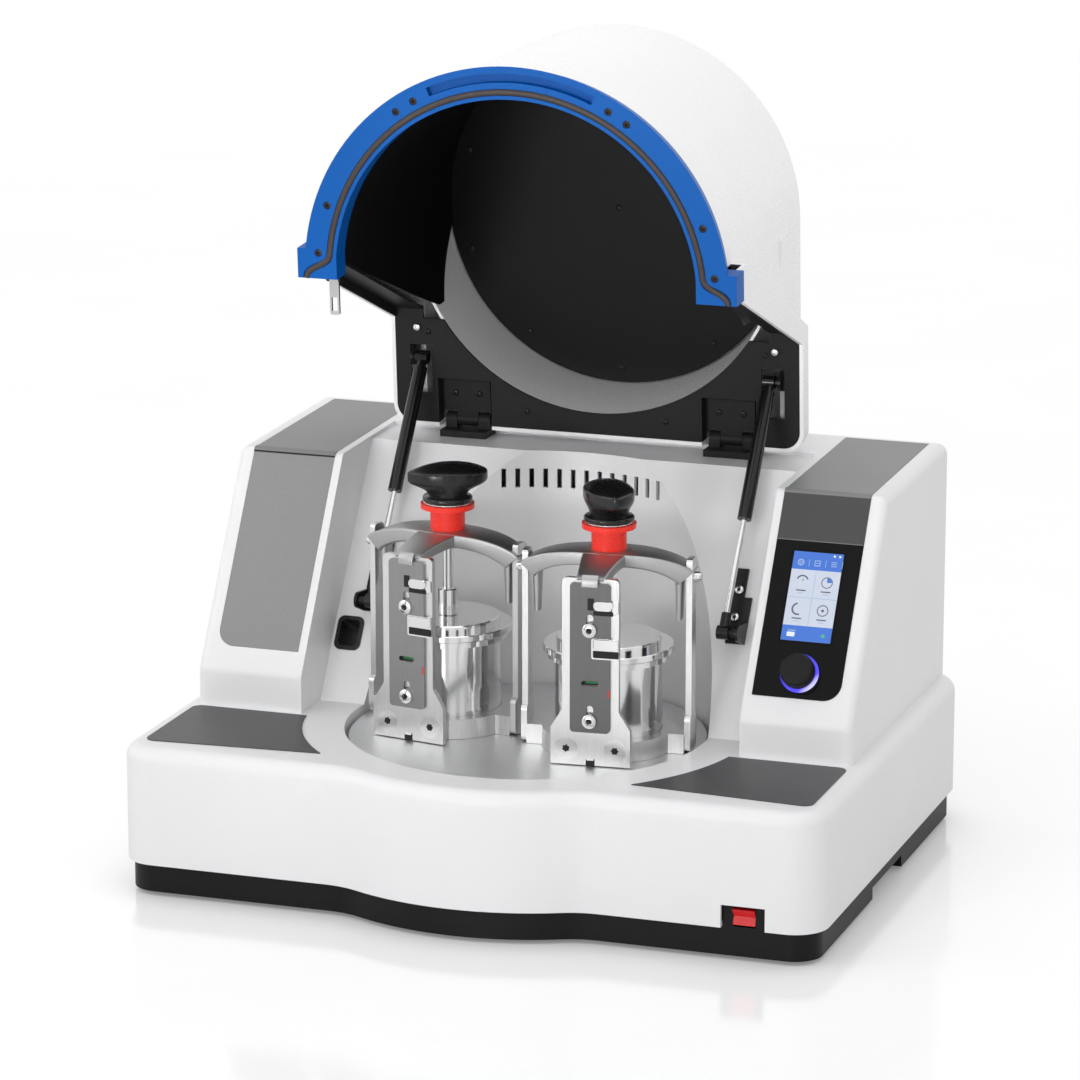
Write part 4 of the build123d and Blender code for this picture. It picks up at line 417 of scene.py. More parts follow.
def glowFinish(name, colour, strength, gloss=0.12):
    finish = newFinish(name, scaled(colour, 0.15), gloss)
    tint = addNode(finish, "ShaderNodeValToRGB")
    tint.color_ramp.elements[0].color = (*scaled(colour, 0.92), 1)
    tint.color_ramp.elements[1].color = (*scaled(colour, 1.05), 1)
    join(finish, noiseOver(finish, 60), tint.inputs["Fac"])
    join(finish, tint.outputs["Color"], shaderOf(finish).inputs["Emission Color"])
    shaderOf(finish).inputs["Emission Strength"].default_value = strength
    return finish


# the light ring glows strongest at its lower right
ringGlow = glowFinish("ringGlow", srgb(70, 64, 255), 1.1)
ringMiddle = podFace @ Vector((*layout["encoder"], 4.0))
ringBright = (podFace.to_3x3() @ Vector((0.76, -0.65, 0))).normalized()
ringSide = alongDirection(ringGlow, ringBright, ringBright.dot(ringMiddle))
ringTint = addNode(ringGlow, "ShaderNodeValToRGB")
ringTint.color_ramp.elements.new(0.84)
ringTones = ((0.3, srgb(38, 30, 170)), (0.84, srgb(92, 84, 255)), (1.0, srgb(226, 222, 255)))
for element, (position, tone) in zip(ringTint.color_ramp.elements, ringTones):
    element.position = position
    element.color = (*tone, 1)
join(ringGlow, stepMask(ringGlow, ringSide, -20 * mm, 20 * mm), ringTint.inputs["Fac"])
join(ringGlow, ringTint.outputs["Color"], shaderOf(ringGlow).inputs["Emission Color"])
screenTones = {
    "screenBlue": srgb(66, 118, 214),
    "screenPale": srgb(206, 214, 230),
    "screenLine": srgb(160, 188, 226),
    "screenInk": srgb(92, 98, 122),
    "screenWhite": srgb(232, 240, 252),
    "screenGreen": srgb(70, 190, 140),
}
screenFinishes = [glowFinish(name, tone, 0.85) for name, tone in screenTones.items()]
look.update(grilleSheet=grilleSheet, fasciaBlack=fasciaBlack, strutRod=strutRod, ringGlow=ringGlow)

nodeLook = {
    "housing_shell": "whiteHousing",
    "base_plinth": "plinthBlack",
    "rubber_feet": "footRubber",
    "deck_pads": "padAnthracite",
    "left_front_grille": "grilleSheet",
    "display_fascia": "fasciaBlack",
    "touch_display": "fasciaBlack",
    "encoder_light_ring": "ringGlow",
    "encoder_knob": "encoderBlack",
    "pod_top_panels": "panelGrey",
    "power_rocker": "rockerRed",
    "latch_receptacle": "knobBlack",
    "turntable": "turntableMetal",
    "planet_bearings": "bearingSteel",
    "main_shaft": "bearingSteel",
    "bearing_housing": "bearingSteel",
    "sun_pulley": "bearingSteel",
    "planet_belt": "beltBlack",
    "drive_belt": "beltBlack",
    "motor_pulley": "bearingSteel",
    "drive_motor": "motorPaint",
    "drive_chassis": "chassisPaint",
    "lid_shell": "whiteLid",
    "lid_inner_wall": "linerBlack",
    "roof_liner": "linerBlack",
    "lid_bottom_plate": "plateBlack",
    "latch_hook": "hookChrome",
    "lid_rim": "rimBlue",
    "rim_gasket": "sealBrown",
    "lid_screws": "screwBlack",
    "hinge_lid_leaves": "plateBlack",
    "hinge_base_leaves": "plateBlack",
    "hinge_pins": "screwBlack",
    "strut_studs": "screwBlack",
    "strut_brackets": "screwBlack",
    "drive_inverter": "casingBlack",
    "mains_inlet": "casingBlack",
    "rear_vent_panel": "casingBlack",
    "cooling_fan": "casingBlack",
    "fan_impeller": "casingBlack",
}
for side in ("left", "right"):
    nodeLook[f"{side}_jar_holder"] = "steelPlate"
    nodeLook[f"{side}_clamp_bridge"] = "bridgeSteel"
    nodeLook[f"{side}_grinding_jar"] = f"{side}JarSteel"
    nodeLook[f"{side}_jar_lid"] = f"{side}JarSteel"
    nodeLook[f"{side}_spindle_collar"] = "collarRed"
    nodeLook[f"{side}_clamp_spindle"] = f"{side}JarSteel"
    nodeLook[f"{side}_wing_knob"] = "knobBlack"
    nodeLook[f"{side}_safety_slider"] = f"{side}SliderSteel"
    nodeLook[f"{side}_strut_rod"] = "strutRod"
    nodeLook[f"{side}_strut_cylinder"] = "strutTube"
for name, node in nodes.items():
    node.data.materials.clear()
    node.data.materials.append(look[nodeLook[name]])
print("finishes on", len(nodes), "nodes")


# Geometry Nodes spread the screws and sweep the seal
def nodeTree(name, inputs):
    tree = bpy.data.node_groups.new(name, "GeometryNodeTree")
    tree.interface.new_socket("Geometry", in_out="INPUT", socket_type="NodeSocketGeometry")
    for label, kind in inputs:
        tree.interface.new_socket(label, in_out="INPUT", socket_type=kind)
    tree.interface.new_socket("Geometry", in_out="OUTPUT", socket_type="NodeSocketGeometry")
    source = tree.nodes.new("NodeGroupInput")
    target = tree.nodes.new("NodeGroupOutput")
    return tree, source, target


def screwTree():
    tree, source, target = nodeTree(
        "screwSpread",
        [("Head", "NodeSocketObject"), ("Turn", "NodeSocketVector"), ("Seed", "NodeSocketInt"),
         ("Finish", "NodeSocketMaterial")],
    )
    head = tree.nodes.new("GeometryNodeObjectInfo")
    turn = tree.nodes.new("FunctionNodeEulerToRotation")
    place = tree.nodes.new("GeometryNodeInstanceOnPoints")
    chance = tree.nodes.new("FunctionNodeRandomValue")
    spin = tree.nodes.new("ShaderNodeCombineXYZ")
    twist = tree.nodes.new("GeometryNodeRotateInstances")
    real = tree.nodes.new("GeometryNodeRealizeInstances")
    paint = tree.nodes.new("GeometryNodeSetMaterial")
    chance.data_type = "FLOAT"
    chance.inputs[3].default_value = math.tau
    twist.inputs["Local Space"].default_value = True
    link = tree.links.new
    link(source.outputs["Head"], head.inputs["Object"])
    link(source.outputs["Turn"], turn.inputs["Euler"])
    link(source.outputs["Geometry"], place.inputs["Points"])
    link(head.outputs["Geometry"], place.inputs["Instance"])
    link(turn.outputs["Rotation"], place.inputs["Rotation"])
    link(source.outputs["Seed"], chance.inputs["Seed"])
    link(chance.outputs[1], spin.inputs["Z"])
    link(place.outputs["Instances"], twist.inputs["Instances"])
    link(spin.outputs["Vector"], twist.inputs["Rotation"])
    link(twist.outputs["Instances"], real.inputs["Geometry"])
    link(real.outputs["Geometry"], paint.inputs["Geometry"])
    link(source.outputs["Finish"], paint.inputs["Material"])
    link(paint.outputs["Geometry"], target.inputs["Geometry"])
    return tree


def tubeTree():
    tree, source, target = nodeTree(
        "tubeAlong",
        [("Radius", "NodeSocketFloat"), ("Step", "NodeSocketFloat"), ("Sides", "NodeSocketInt"),
         ("Finish", "NodeSocketMaterial")],
    )
    steps = tree.nodes.new("GeometryNodeResampleCurve")
    ring = tree.nodes.new("GeometryNodeCurvePrimitiveCircle")
    sweep = tree.nodes.new("GeometryNodeCurveToMesh")
    smooth = tree.nodes.new("GeometryNodeSetShadeSmooth")
    real = tree.nodes.new("GeometryNodeRealizeInstances")
    paint = tree.nodes.new("GeometryNodeSetMaterial")
    steps.mode = "LENGTH"
    sweep.inputs["Fill Caps"].default_value = True
    link = tree.links.new
    link(source.outputs["Geometry"], steps.inputs["Curve"])
    link(source.outputs["Step"], steps.inputs["Length"])
    link(source.outputs["Radius"], ring.inputs["Radius"])
    link(source.outputs["Sides"], ring.inputs["Resolution"])
    link(steps.outputs["Curve"], sweep.inputs["Curve"])
    link(ring.outputs["Curve"], sweep.inputs["Profile Curve"])
    link(sweep.outputs["Mesh"], smooth.inputs["Geometry"])
    link(smooth.outputs["Geometry"], real.inputs["Geometry"])
    link(real.outputs["Geometry"], paint.inputs["Geometry"])
    link(source.outputs["Finish"], paint.inputs["Material"])
    link(paint.outputs["Geometry"], target.inputs["Geometry"])
    return tree


def runTree(holder, tree, values):
    scene.collection.objects.link(holder)
    modifier = holder.modifiers.new(tree.name, "NODES")
    modifier.node_group = tree
    sockets = {s.name: s.identifier for s in tree.interface.items_tree if s.in_out == "INPUT"}
    for label, value in values.items():
        modifier[sockets[label]] = value
    bpy.context.view_layer.update()
    shaped = holder.evaluated_get(bpy.context.evaluated_depsgraph_get())
    made = bpy.data.meshes.new_from_object(shaped)
    bpy.data.objects.remove(holder)
    return made


def screwHead(name, radius, height, socket, lobes, domed):
    # head on its own axis, with a hexagonal or lobed recess for the key
    sides = 36
    bm = bmesh.new()
    levels = [(radius, 0.0), (radius, height * (0.35 if domed else 0.75))]
    if domed:
        levels += [(radius * 0.93, height * 0.7), (radius * 0.78, height * 0.9)]
    else:
        levels += [(radius * 0.92, height)]
    rings = [[(x, y, z) for x, y in circlePoints(r, sides)] for r, z in levels]
    floorHigh = height * 0.3
    for z in (height, floorHigh):
        ring = []
        for i in range(sides):
            a = math.tau * i / sides
            if lobes:
                r = socket * (1 + 0.14 * math.cos(lobes * a))
            else:
                r = socket * 0.9 / math.cos((a + math.pi / 6) % (math.pi / 3) - math.pi / 6)
            ring.append((r * math.cos(a), r * math.sin(a), z))
        rings.append(ring)
    addLoft(bm, rings)
    head = bpy.data.objects.new(name, finishMesh(name, bm, Matrix.Scale(mm, 4)))
    # a thin plug at the floor of the recess, which carries painted shade
    bm = bmesh.new()
    inside = [(x * 0.96, y * 0.96) for x, y, z in rings[-1]]
    addPrism(bm, inside, floorHigh - 0.1, floorHigh + 0.12)
    name += "Socket"
    plug = bpy.data.objects.new(name, finishMesh(name, bm, Matrix.Scale(mm, 4)))
    return head, plug


screwSpread = screwTree()
tubeAlong = tubeTree()
buttonHead = screwHead("buttonHead", 4.6, 2.8, 2.0, 0, True)
smallHead = screwHead("smallHead", 3.4, 1.8, 1.5, 6, True)
domeHead = screwHead("domeHead", 7.6, 4.2, 3.3, 0, True)
sunkHead = screwHead("sunkHead", 11.4, 0.1, 3.6, 6, False)


def spreadScrews(name, spots, place, kind, finish, body, standsFor=(), seed=1):
    # heads, and the floors of their sockets painted dark as shade in the recess, spread by the same
    # seed and joined
    turn = tuple(place.to_euler())
    bm = bmesh.new()
    for part, (shape, tone) in enumerate(zip(kind, (finish, look["recessShadeAndJointDark"]))):
        data = bpy.data.meshes.new(name + "Spots")
        data.from_pydata([place @ Vector(s) for s in spots], [], [])
        holder = bpy.data.objects.new(name + "Holder", data)
        values = {"Head": shape, "Turn": turn, "Seed": seed, "Finish": tone}
        made = runTree(holder, screwSpread, values)
        before = len(bm.faces)
        bm.from_mesh(made)
        bm.faces.ensure_lookup_table()
        for face in bm.faces[before:]:
            face.material_index = part
    whole = bpy.data.meshes.new(name)
    bm.to_mesh(whole)
    bm.free()
    addPiece(name, whole, [finish, look["recessShadeAndJointDark"]], body, standsFor)


facingDown = Matrix.Rotation(math.pi, 4, "X")
drumCentre = layout["drumCentre"]
rimRow = {"radius": 205.0, "face": 157.1, "turns": (-6, -20, -55, -61, -119, -125, -160, -174)}
rimSpots = []
for turn in rimRow["turns"]:
    x, y = circlePoints(rimRow["radius"], 1, turn, 0)[0]
    rimSpots.append((x, -(y + drumCentre), -rimRow["face"]))
spreadScrews(
    "rimScrews", rimSpots, lidDrawing @ facingDown, buttonHead, look["screwBrown"], "lid",
    ("lid_screws",), 3,
)
roofRow = {"radius": 171.0, "face": 482.0, "count": 10, "first": 18}
roofRing = circlePoints(roofRow["radius"], roofRow["count"], roofRow["first"])
roofSpots = [(x, -(y + drumCentre), -roofRow["face"]) for x, y in roofRing]
roofSpots.append((0, -drumCentre, -roofRow["face"]))
spreadScrews(
    "roofScrews", roofSpots, lidDrawing @ facingDown, smallHead, look["screwBlack"], "lid",
    seed=5,
)
lidPlate = {"face": 395.0, "spots": ((75, 212), (182, 134))}
lidLeaf = {"face": 403.5, "middle": 143.0, "apart": 13.0, "back": 200.0}
plateSpots = [(s * x, -y, -lidPlate["face"]) for s in (-1, 1) for x, y in lidPlate["spots"]]
for s in (-1, 1):
    for e in (-1, 1):
        x = s * lidLeaf["middle"] + e * lidLeaf["apart"]
        plateSpots.append((x, -lidLeaf["back"], -lidLeaf["face"]))
spreadScrews(
    "plateScrews", plateSpots, lidDrawing @ facingDown, smallHead, look["screwBlack"], "lid",
    seed=7,
)
bracketRow = {"side": 190.0, "along": (126.0, 155.0), "face": 3.2}
bracketSpots = [
    (s * bracketRow["side"], along, bracketRow["face"])
    for s in (-1, 1) for along in bracketRow["along"]
]
spreadScrews(
    "bracketScrews", bracketSpots, slopeFace, buttonHead, look["brightScrew"], "base",
    seed=9,
)

# bright buffers on the lid's bottom plate
buffer = {"radius": 4.1, "height": 4.6, "side": 193.0, "back": 129.0, "sunk": 0.4}
r = buffer["radius"]
low = -lidPlate["face"] - buffer["sunk"]
top = buffer["height"] - lidPlate["face"]
bm = bmesh.new()
profile = [(0, low), (r, low), (r, top - 2), (r * 0.82, top - 0.7), (r * 0.4, top), (0, top)]
for s in (-1, 1):
    addLathe(bm, profile, 24, (s * buffer["side"], -buffer["back"]))
bufferMesh = finishMesh("lidBuffers", bm, lidDrawing @ facingDown)
addPiece("lidBuffers", bufferMesh, [look["brightScrew"]], "lid")
print("screws spread")

# the seal under the rim: an arc whose ends swing out to the rim's tabs
seal = {
    "radius": 193.0, "turnIn": 6.0, "tab": (217.0, 16.7), "wide": 6.0, "top": 155.9, "low": 152.6,
    "arcSteps": 64, "swingSteps": 24,
}
sealArc = circlePoints(
    seal["radius"], seal["arcSteps"], 180 + seal["turnIn"], 180 - 2 * seal["turnIn"]
)
sealLine = [(x, y + drumCentre) for x, y in sealArc]
lead = math.radians(seal["turnIn"])
start = Vector(sealLine[-1])
end = Vector(seal["tab"])
span = (end - start).length
startLead = Vector((math.sin(lead), math.cos(lead))) * span
endLead = Vector((0, 1)) * span
swing = []
for i in range(1, seal["swingSteps"] + 1):
    t = i / seal["swingSteps"]
    # a smooth curve from point to point that leaves and arrives along the leads
    away = (2 * t**3 - 3 * t**2 + 1) * start + (t**3 - 2 * t**2 + t) * startLead
    near = (3 * t**2 - 2 * t**3) * end + (t**3 - t**2) * endLead
    swing.append(away + near)
sealLine = [(-p.x, p.y) for p in reversed(swing)] + sealLine + [(p.x, p.y) for p in swing]
sealCurve = bpy.data.curves.new("sealLine", "CURVE")
sealCurve.dimensions = "3D"
sealSpline = sealCurve.splines.new("POLY")
sealSpline.points.add(len(sealLine) - 1)
for point, (x, y) in zip(sealSpline.points, sealLine):
    point.co = (x * mm, y * mm, 0, 1)
sealMesh = runTree(
    bpy.data.objects.new("sealHolder", sealCurve), tubeAlong,
    {"Radius": seal["wide"] / 2 * mm, "Step": 2.5 * mm, "Sides": 18, "Finish": look["sealBrown"]},
)
middle = Matrix.Translation((0, 0, (seal["top"] + seal["low"]) / 2))
flatten = Matrix.Diagonal((1, 1, (seal["top"] - seal["low"]) / seal["wide"], 1))
sealMesh.transform(lidDrawing @ middle @ flatten @ Matrix.Scale(1 / mm, 4))
addPiece("rimSeal", sealMesh, [look["sealBrown"]], "lid", ("rim_gasket",))
print("seal laid")

# the wing knobs on the clamps
wingKnob = {
    "low": 230.3, "disc": (25.0, 5.0), "neck": 21.0, "reach": 40.5, "girth": 24.5, "sweep": 5.0,
    "steps": 96,
    # height over the disc, how far the neck has become the wing, and the size of that ring
    "levels": (
        (0.3, 0.0, 0.99), (1.4, 0.0, 0.93), (4.0, 0.06, 0.93), (7.0, 0.22, 0.95),
        (10.0, 0.5, 0.97), (12.6, 0.8, 0.985), (15.0, 0.95, 0.995), (17.0, 1.0, 1.0),
        (24.2, 1.0, 1.0), (25.4, 1.0, 0.985), (26.4, 1.0, 0.95), (28.6, 1.0, 0.82),
        (30.6, 1.0, 0.66), (32.3, 1.0, 0.46), (33.5, 1.0, 0.24), (34.0, 1.0, 0.06),
    ),
}
knobWasher = (
    (11, 228.3), (23.8, 228.3), (24.4, 228.8), (24.4, 229.6), (23.8, 230.1), (11, 230.1),
)


def wingOutline():
    # two blunt wings with a finger hollow on one side of each
    points = []
    for i in range(wingKnob["steps"]):
        t = math.tau * i / wingKnob["steps"]
        x = wingKnob["reach"] * math.copysign(abs(math.cos(t)) ** 0.9, math.cos(t))
        y = wingKnob["girth"] * math.sin(t) * (0.8 + 0.2 * math.sin(t) ** 2)
        y += wingKnob["sweep"] * math.sin(2 * t) * abs(math.cos(t))
        points.append((x, y))
    return points


def mixOutlines(first, second, share):
    return [(a[0] * (1 - share) + b[0] * share, a[1] * (1 - share) + b[1] * share)
            for a, b in zip(first, second)]


neckRing = circlePoints(wingKnob["neck"], wingKnob["steps"])
wingRing = wingOutline()
for side in ("left", "right"):
    low = wingKnob["low"]
    r, thick = wingKnob["disc"]
    top = low + thick
    bm = bmesh.new()
    rings = []
    for radius, z in ((3.5, low), (r - 0.8, low), (r, low + 0.8), (r, top - 1.2), (r - 1.2, top)):
        rings.append([(x, y, z) for x, y in circlePoints(radius, wingKnob["steps"])])
    for up, share, size in wingKnob["levels"]:
        outline = mixOutlines(neckRing, wingRing, share)
        rings.append([(x * size, y * size, top + up) for x, y in outline])
    addLoft(bm, rings)
    knobMesh = finishMesh(f"{side}WingKnob", bm, knobPlace[side], 50)
    addPiece(
        f"{side}WingKnob", knobMesh, [look["knobBlack"]], f"{side}_knob",
        (f"{side}_wing_knob",),
    )
    bm = bmesh.new()
    addLathe(bm, knobWasher, 64, hollow=True)
    washerMesh = finishMesh(f"{side}KnobWasher", bm, knobPlace[side])
    addPiece(
        f"{side}KnobWasher", washerMesh, [look["brightScrew"]], f"{side}_knob"
    )

# the cast bridges over the jars
bridge = {
    "side": 80.0, "front": 76.0, "crown": 201.5, "thick": 13.0, "corner": 2.2, "sideFall": 17.0,
    "frontFall": 9.5,
    "lip": ((-77.6, 192.5), (-80.6, 190.0), (-81.4, 186.5), (-81.2, 182.5)),
    "hookIn": 8.0, "hookLevels": (183, 172, 160, 146, 134),
    "pinHeight": 178.0, "pin": ((69, 5.2), (91, 5.2), (93.5, 4.0)),  # distance out, radius
}


def sweepBar(bm, path, widths, thicks, across, corner=3.8):
    # rounded bar along a path, its wide side along the given direction
    rings = []
    last = len(path) - 1
    for i, point in enumerate(path):
        ahead = (path[min(i + 1, last)] - path[max(i - 1, 0)]).normalized()
        outward = across.cross(ahead).normalized()
        wide = widths(i / last)
        thick = thicks(i / last)
        ring = roundedOutline(wide, thick, min(corner, thick * 0.42), 4)
        rings.append([tuple(point + across * u + outward * v) for u, v in ring])
    addLoft(bm, rings)


def archPoint(t):
    # t runs from -1 to 1 over the bridge, from pin to pin
    x = bridge["side"] * math.copysign(min(1.0, abs(t) * 1.02), t)
    fall = bridge["sideFall"] * abs(t) ** 3.4
    return Vector((x, 0, bridge["crown"] - bridge["thick"] / 2 - fall))


def nosePoint(t):
    # t runs from 0 at the spindle to 1 at the clamp's front
    y = -bridge["front"] * min(1.0, t * 1.03)
    return Vector((0, y, bridge["crown"] - bridge["thick"] / 2 - bridge["frontFall"] * t**3))


acrossX = Vector((1, 0, 0))
acrossY = Vector((0, 1, 0))
thick = bridge["thick"]
top = bridge["crown"]
hub = (
    (6, top - 16), (22, top - 16), (26, top - 8), (29, top - 2.4), (24, top - 0.4),
    (20, top + 0.3), (17.9, top + 0.2), (17.9, top - 1), (6, top - 1),
)
for side in ("left", "right"):
    bm = bmesh.new()
    sweepBar(
        bm, [archPoint(-1 + 2 * i / 40) for i in range(41)],
        lambda t: 26 + 24 * (1 - abs(2 * t - 1) ** 1.5),
        lambda t: thick + 7 * abs(2 * t - 1) ** 3, acrossY, bridge["corner"],
    )
    sweepBar(
        bm, [nosePoint(i / 20) for i in range(21)],
        lambda t: 50 - 22 * t, lambda t: thick - 3 * t, acrossX, bridge["corner"],
    )
    lip = [Vector((0, y, z)) for y, z in bridge["lip"]]
    sweepBar(bm, lip, lambda t: 17, lambda t: 3.0, acrossX)
    addLathe(bm, hub, 72, hollow=True)
    for s in (-1, 1):
        # a hook plate and a round-headed pin at the end of each arm
        x = s * (bridge["side"] - bridge["hookIn"])
        hook = [Vector((x, 0, z)) for z in bridge["hookLevels"]]
        sweepBar(bm, hook, lambda t: 17 - 5 * t, lambda t: 9.0 - 4 * t, acrossY)
        rings = []
        for out, r in bridge["pin"]:
            ring = circlePoints(r, 24)
            rings.append([(s * out, y, bridge["pinHeight"] + z) for y, z in ring])
        addLoft(bm, rings, part=1)
    castMesh = finishMesh(f"{side}BridgeCasting", bm, stationPlace[side], 38)
    addPiece(
        f"{side}BridgeCasting", castMesh, [look["bridgeSteel"], look["brightScrew"]],
        f"{side}_planet", (f"{side}_clamp_bridge",),
    )
print("bridges cast")

# the fittings on the front of each clamp
clampFront = {
    "sliderScrews": (47.0, 139.0), "footScrews": (24.5, 17.0), "post": 78.0, "slider": 81.2,
}
post = clampFront["post"]
face = clampFront["slider"]
# the blocks on the second finish are painted shade: dark prisms standing where the latch's slot and
# gaps are
latchBlocks = (
    (27.5, 21, 2.0, (15.2, 120.5), face, face + 0.5, 0, 0.2),
    (25, 9.5, 1.6, (16.2, 125.6), face, face + 2.2, 0, 0.7),
    (25.5, 7.2, 0.8, (16.2, 115.2), face + 0.3, face + 0.7, 1, 0),
    (7.0, 20.5, 1.2, (25.2, 120.5), post + 0.05, face + 0.2, 0, 0),
    (20, 10, 4.6, (13.5, 164.0), face, face + 2.6, 0, 0.9),
    (6.4, 12, 1.0, (1.0, 165.0), face, face + 0.25, 1, 0),
    (20, 4.5, 1.0, (13.5, 156.4), face, face + 0.3, 1, 0),
    (6.0, 12, 1.2, (25.4, 162.0), post + 0.05, face + 0.2, 0, 0),
)
# the first block is painted shade: a dark prism where the foot's notch is
footBlocks = (
    (9.0, 7.5, 0.8, (0, 3.8), post - 1.0, post + 0.3, 1, 0),
    (7.4, 2.2, 0.6, (0, 7.2), post + 0.1, post + 1.3, 0, 0.3),
)
# the first block is painted shade: a dark prism for the slot round the green mark
slotBlocks = (
    (16.6, 4.4, 0.8, (0, 85), post + 0.2, post + 0.5, 0, 0),
    (11.5, 2.0, 0.6, (1.0, 85.6), post + 0.4, post + 0.9, 1, 0),
)
edgeBlocks = ((1.6, 8.0, 0.4, (19.0, 75.5), face - 0.2, face + 0.05, 0, 0),)
fittings = {
    "LatchBlock": (latchBlocks, [look["hookChrome"], look["recessShadeAndJointDark"]], "planet", "steel_polished"),
    "FootNotch": (footBlocks, [look["hookChrome"], look["recessShadeAndJointDark"]], "planet", "steel_polished"),
    "SlotMark": (slotBlocks, [look["recessShadeAndJointDark"], look["stateGreen"]], "planet", "red_collar"),
    "EdgeMark": (edgeBlocks, [look["stateRed"]], "slider", "red_collar"),
}
facingFront = Matrix.Rotation(math.radians(90), 4, "X")
for side in ("left", "right"):
    front = stationPlace[side] @ facingFront
    spots = [(0, z, face) for z in clampFront["sliderScrews"]]
    spreadScrews(
        f"{side}SliderScrews", spots, front, domeHead, look["brightScrew"], f"{side}_planet",
        seed=11,
    )
    x, z = clampFront["footScrews"]
    spots = [(s * x, z, post - 0.02) for s in (-1, 1)]
    spreadScrews(
        f"{side}FootScrews", spots, front, sunkHead, look["brightScrew"], f"{side}_planet",
        seed=13,
    )
    for label, (blocks, finishes, carrier, slot) in fittings.items():
        bm = bmesh.new()
        addBlocks(bm, blocks)
        fittingMesh = finishMesh(side + label, bm, front)
        addPiece(side + label, fittingMesh, finishes, f"{side}_{carrier}")
print("clamps fitted")

# strips that bend over the pods' top edges, with a dark joint beside each
podBend = {
    "edge": (239.0, 328.0), "round": 6.0, "topLean": 0.95, "steps": 10,
    # length up the front, length on the top, low and high face, finish
    "strips": ((1.4, 0.2, -0.3, 0.55, 1), (-0.4, 0.6, -0.3, 1.0, 0)),
}


def bendSection(first, last, low, high):
    # section of a strip that runs up the front, round the bend and onto the top
    lean = math.radians(layout["podLean"])
    topLean = math.radians(podBend["topLean"])
    upward = Vector((math.cos(lean), math.sin(lean)))
    backward = Vector((math.cos(topLean), math.sin(topLean)))
    reach = podBend["round"] * math.tan((lean - topLean) / 2)
    bendFoot = Vector(layout["podFoot"]) + upward * (layout["podLength"] - reach)
    centre = bendFoot + Vector((upward.y, -upward.x)) * podBend["round"]
    line = []
    for i in range(podBend["steps"] + 1):
        t = math.pi / 2 + lean + (topLean - lean) * i / podBend["steps"]
        normal = Vector((math.cos(t), math.sin(t)))
        line.append((centre + normal * podBend["round"], normal))
    line.insert(0, (line[0][0] - upward * first, line[0][1]))
    line.append((line[-1][0] + backward * last, line[-1][1]))
    return [p + n * high for p, n in line] + [p + n * low for p, n in reversed(line)]


for side, s in (("left", -1), ("right", 1)):
    bm = bmesh.new()
    for *shape, part in podBend["strips"]:
        section = bendSection(*shape)
        addLoft(bm, [[(s * x, p.x, p.y) for p in section] for x in podBend["edge"]], part=part)
    stripMesh = finishMesh(f"{side}PodBend", bm, drawing)
    addPiece(
        f"{side}PodBend", stripMesh, [look["panelGrey"], look["recessShadeAndJointDark"]], "base"
    )

# the lit screen: four tiles with icons between a header and a footer
screen = {"size": (50.6, 91.6), "face": 1.06, "layer": 0.06, "header": 18.4, "footer": 15.6}
blue, pale, faint, ink, white, green = range(len(screenFinishes))
wide, tall = screen["size"]
headerUp = (tall - screen["header"]) / 2
footerUp = (screen["footer"] - tall) / 2
iconUp = headerUp - 2
tileHigh = (tall - screen["header"] - screen["footer"]) / 2
middle = (screen["footer"] - screen["header"]) / 2
third = wide / 3
bm = bmesh.new()


def moved(outline, centre):
    return [(centre[0] + x, centre[1] + y) for x, y in outline]


def onScreen(outline, layer, part):
    low = screen["face"]
    addPrism(bm, moved(outline, layout["display"]), low, low + screen["layer"] * layer, part)


def arcBand(centre, radius, width, start, sweep, layer, part, steps=24):
    outer = circlePoints(radius + width / 2, steps, start, sweep)
    inner = circlePoints(radius - width / 2, steps, start, sweep)
    for i in range(steps):
        j = (i + 1) % len(outer)
        onScreen(moved([outer[i], outer[j], inner[j], inner[i]], centre), layer, part)


tiles = [(sx * wide / 4, middle + sy * tileHigh / 2 + 2.5) for sy in (1, -1) for sx in (-1, 1)]
gauge, timer, pause, clock = tiles
bars = [  # width, height, corner, across, up, layer, tone
    (wide, tall, 0.6, 0, 0, 1, pale),
    (wide, screen["header"], 0.5, 0, headerUp, 2, blue),
    (wide, screen["footer"], 0.5, 0, footerUp, 2, blue),
    (0.6, tileHigh * 2 - 2, 0.2, 0, middle, 2, faint),
    (wide - 2, 0.6, 0.2, 0, middle, 2, faint),
    (6, 0.8, 0.2, 0, iconUp + 2.6, 3, faint),
    (6, 0.8, 0.2, 0, iconUp - 2.6, 3, faint),
    (0.8, 6, 0.2, 2.6, iconUp, 3, faint),
    (0.8, 6, 0.2, -2.6, iconUp, 3, faint),
    (3, 0.8, 0.2, 0.2, iconUp, 3, faint),
    (2.2, 2.2, 0.9, wide / 2 - 3.5, headerUp + 6.4, 3, white),
    (2.2, 2.2, 0.9, wide / 2 - 9, headerUp + 6.4, 3, white),
    (8.0, 4.6, 0.6, 1 - third, footerUp - 1.4, 3, white),
    (8.0, 0.9, 0.3, 1.6 - third, footerUp + 2.6, 3, faint),
]
for x, y in tiles:
    bars += [(10, 1.3, 0.5, x, y - 9.6, 2, ink), (6, 0.9, 0.4, x, y - 12.4, 2, faint)]
for i in (-1, 0, 1):
    bars.append((0.5, 7.5, 0.2, (i + 0.5) * third, iconUp, 3, faint))
    bars.append((5.8, 0.8, 0.3, third, iconUp + 2 * i, 3, faint))
for width, height, corner, x, y, layer, tone in bars:
    onScreen(roundedOutline(width, height, corner, centre=(x, y)), layer, tone)
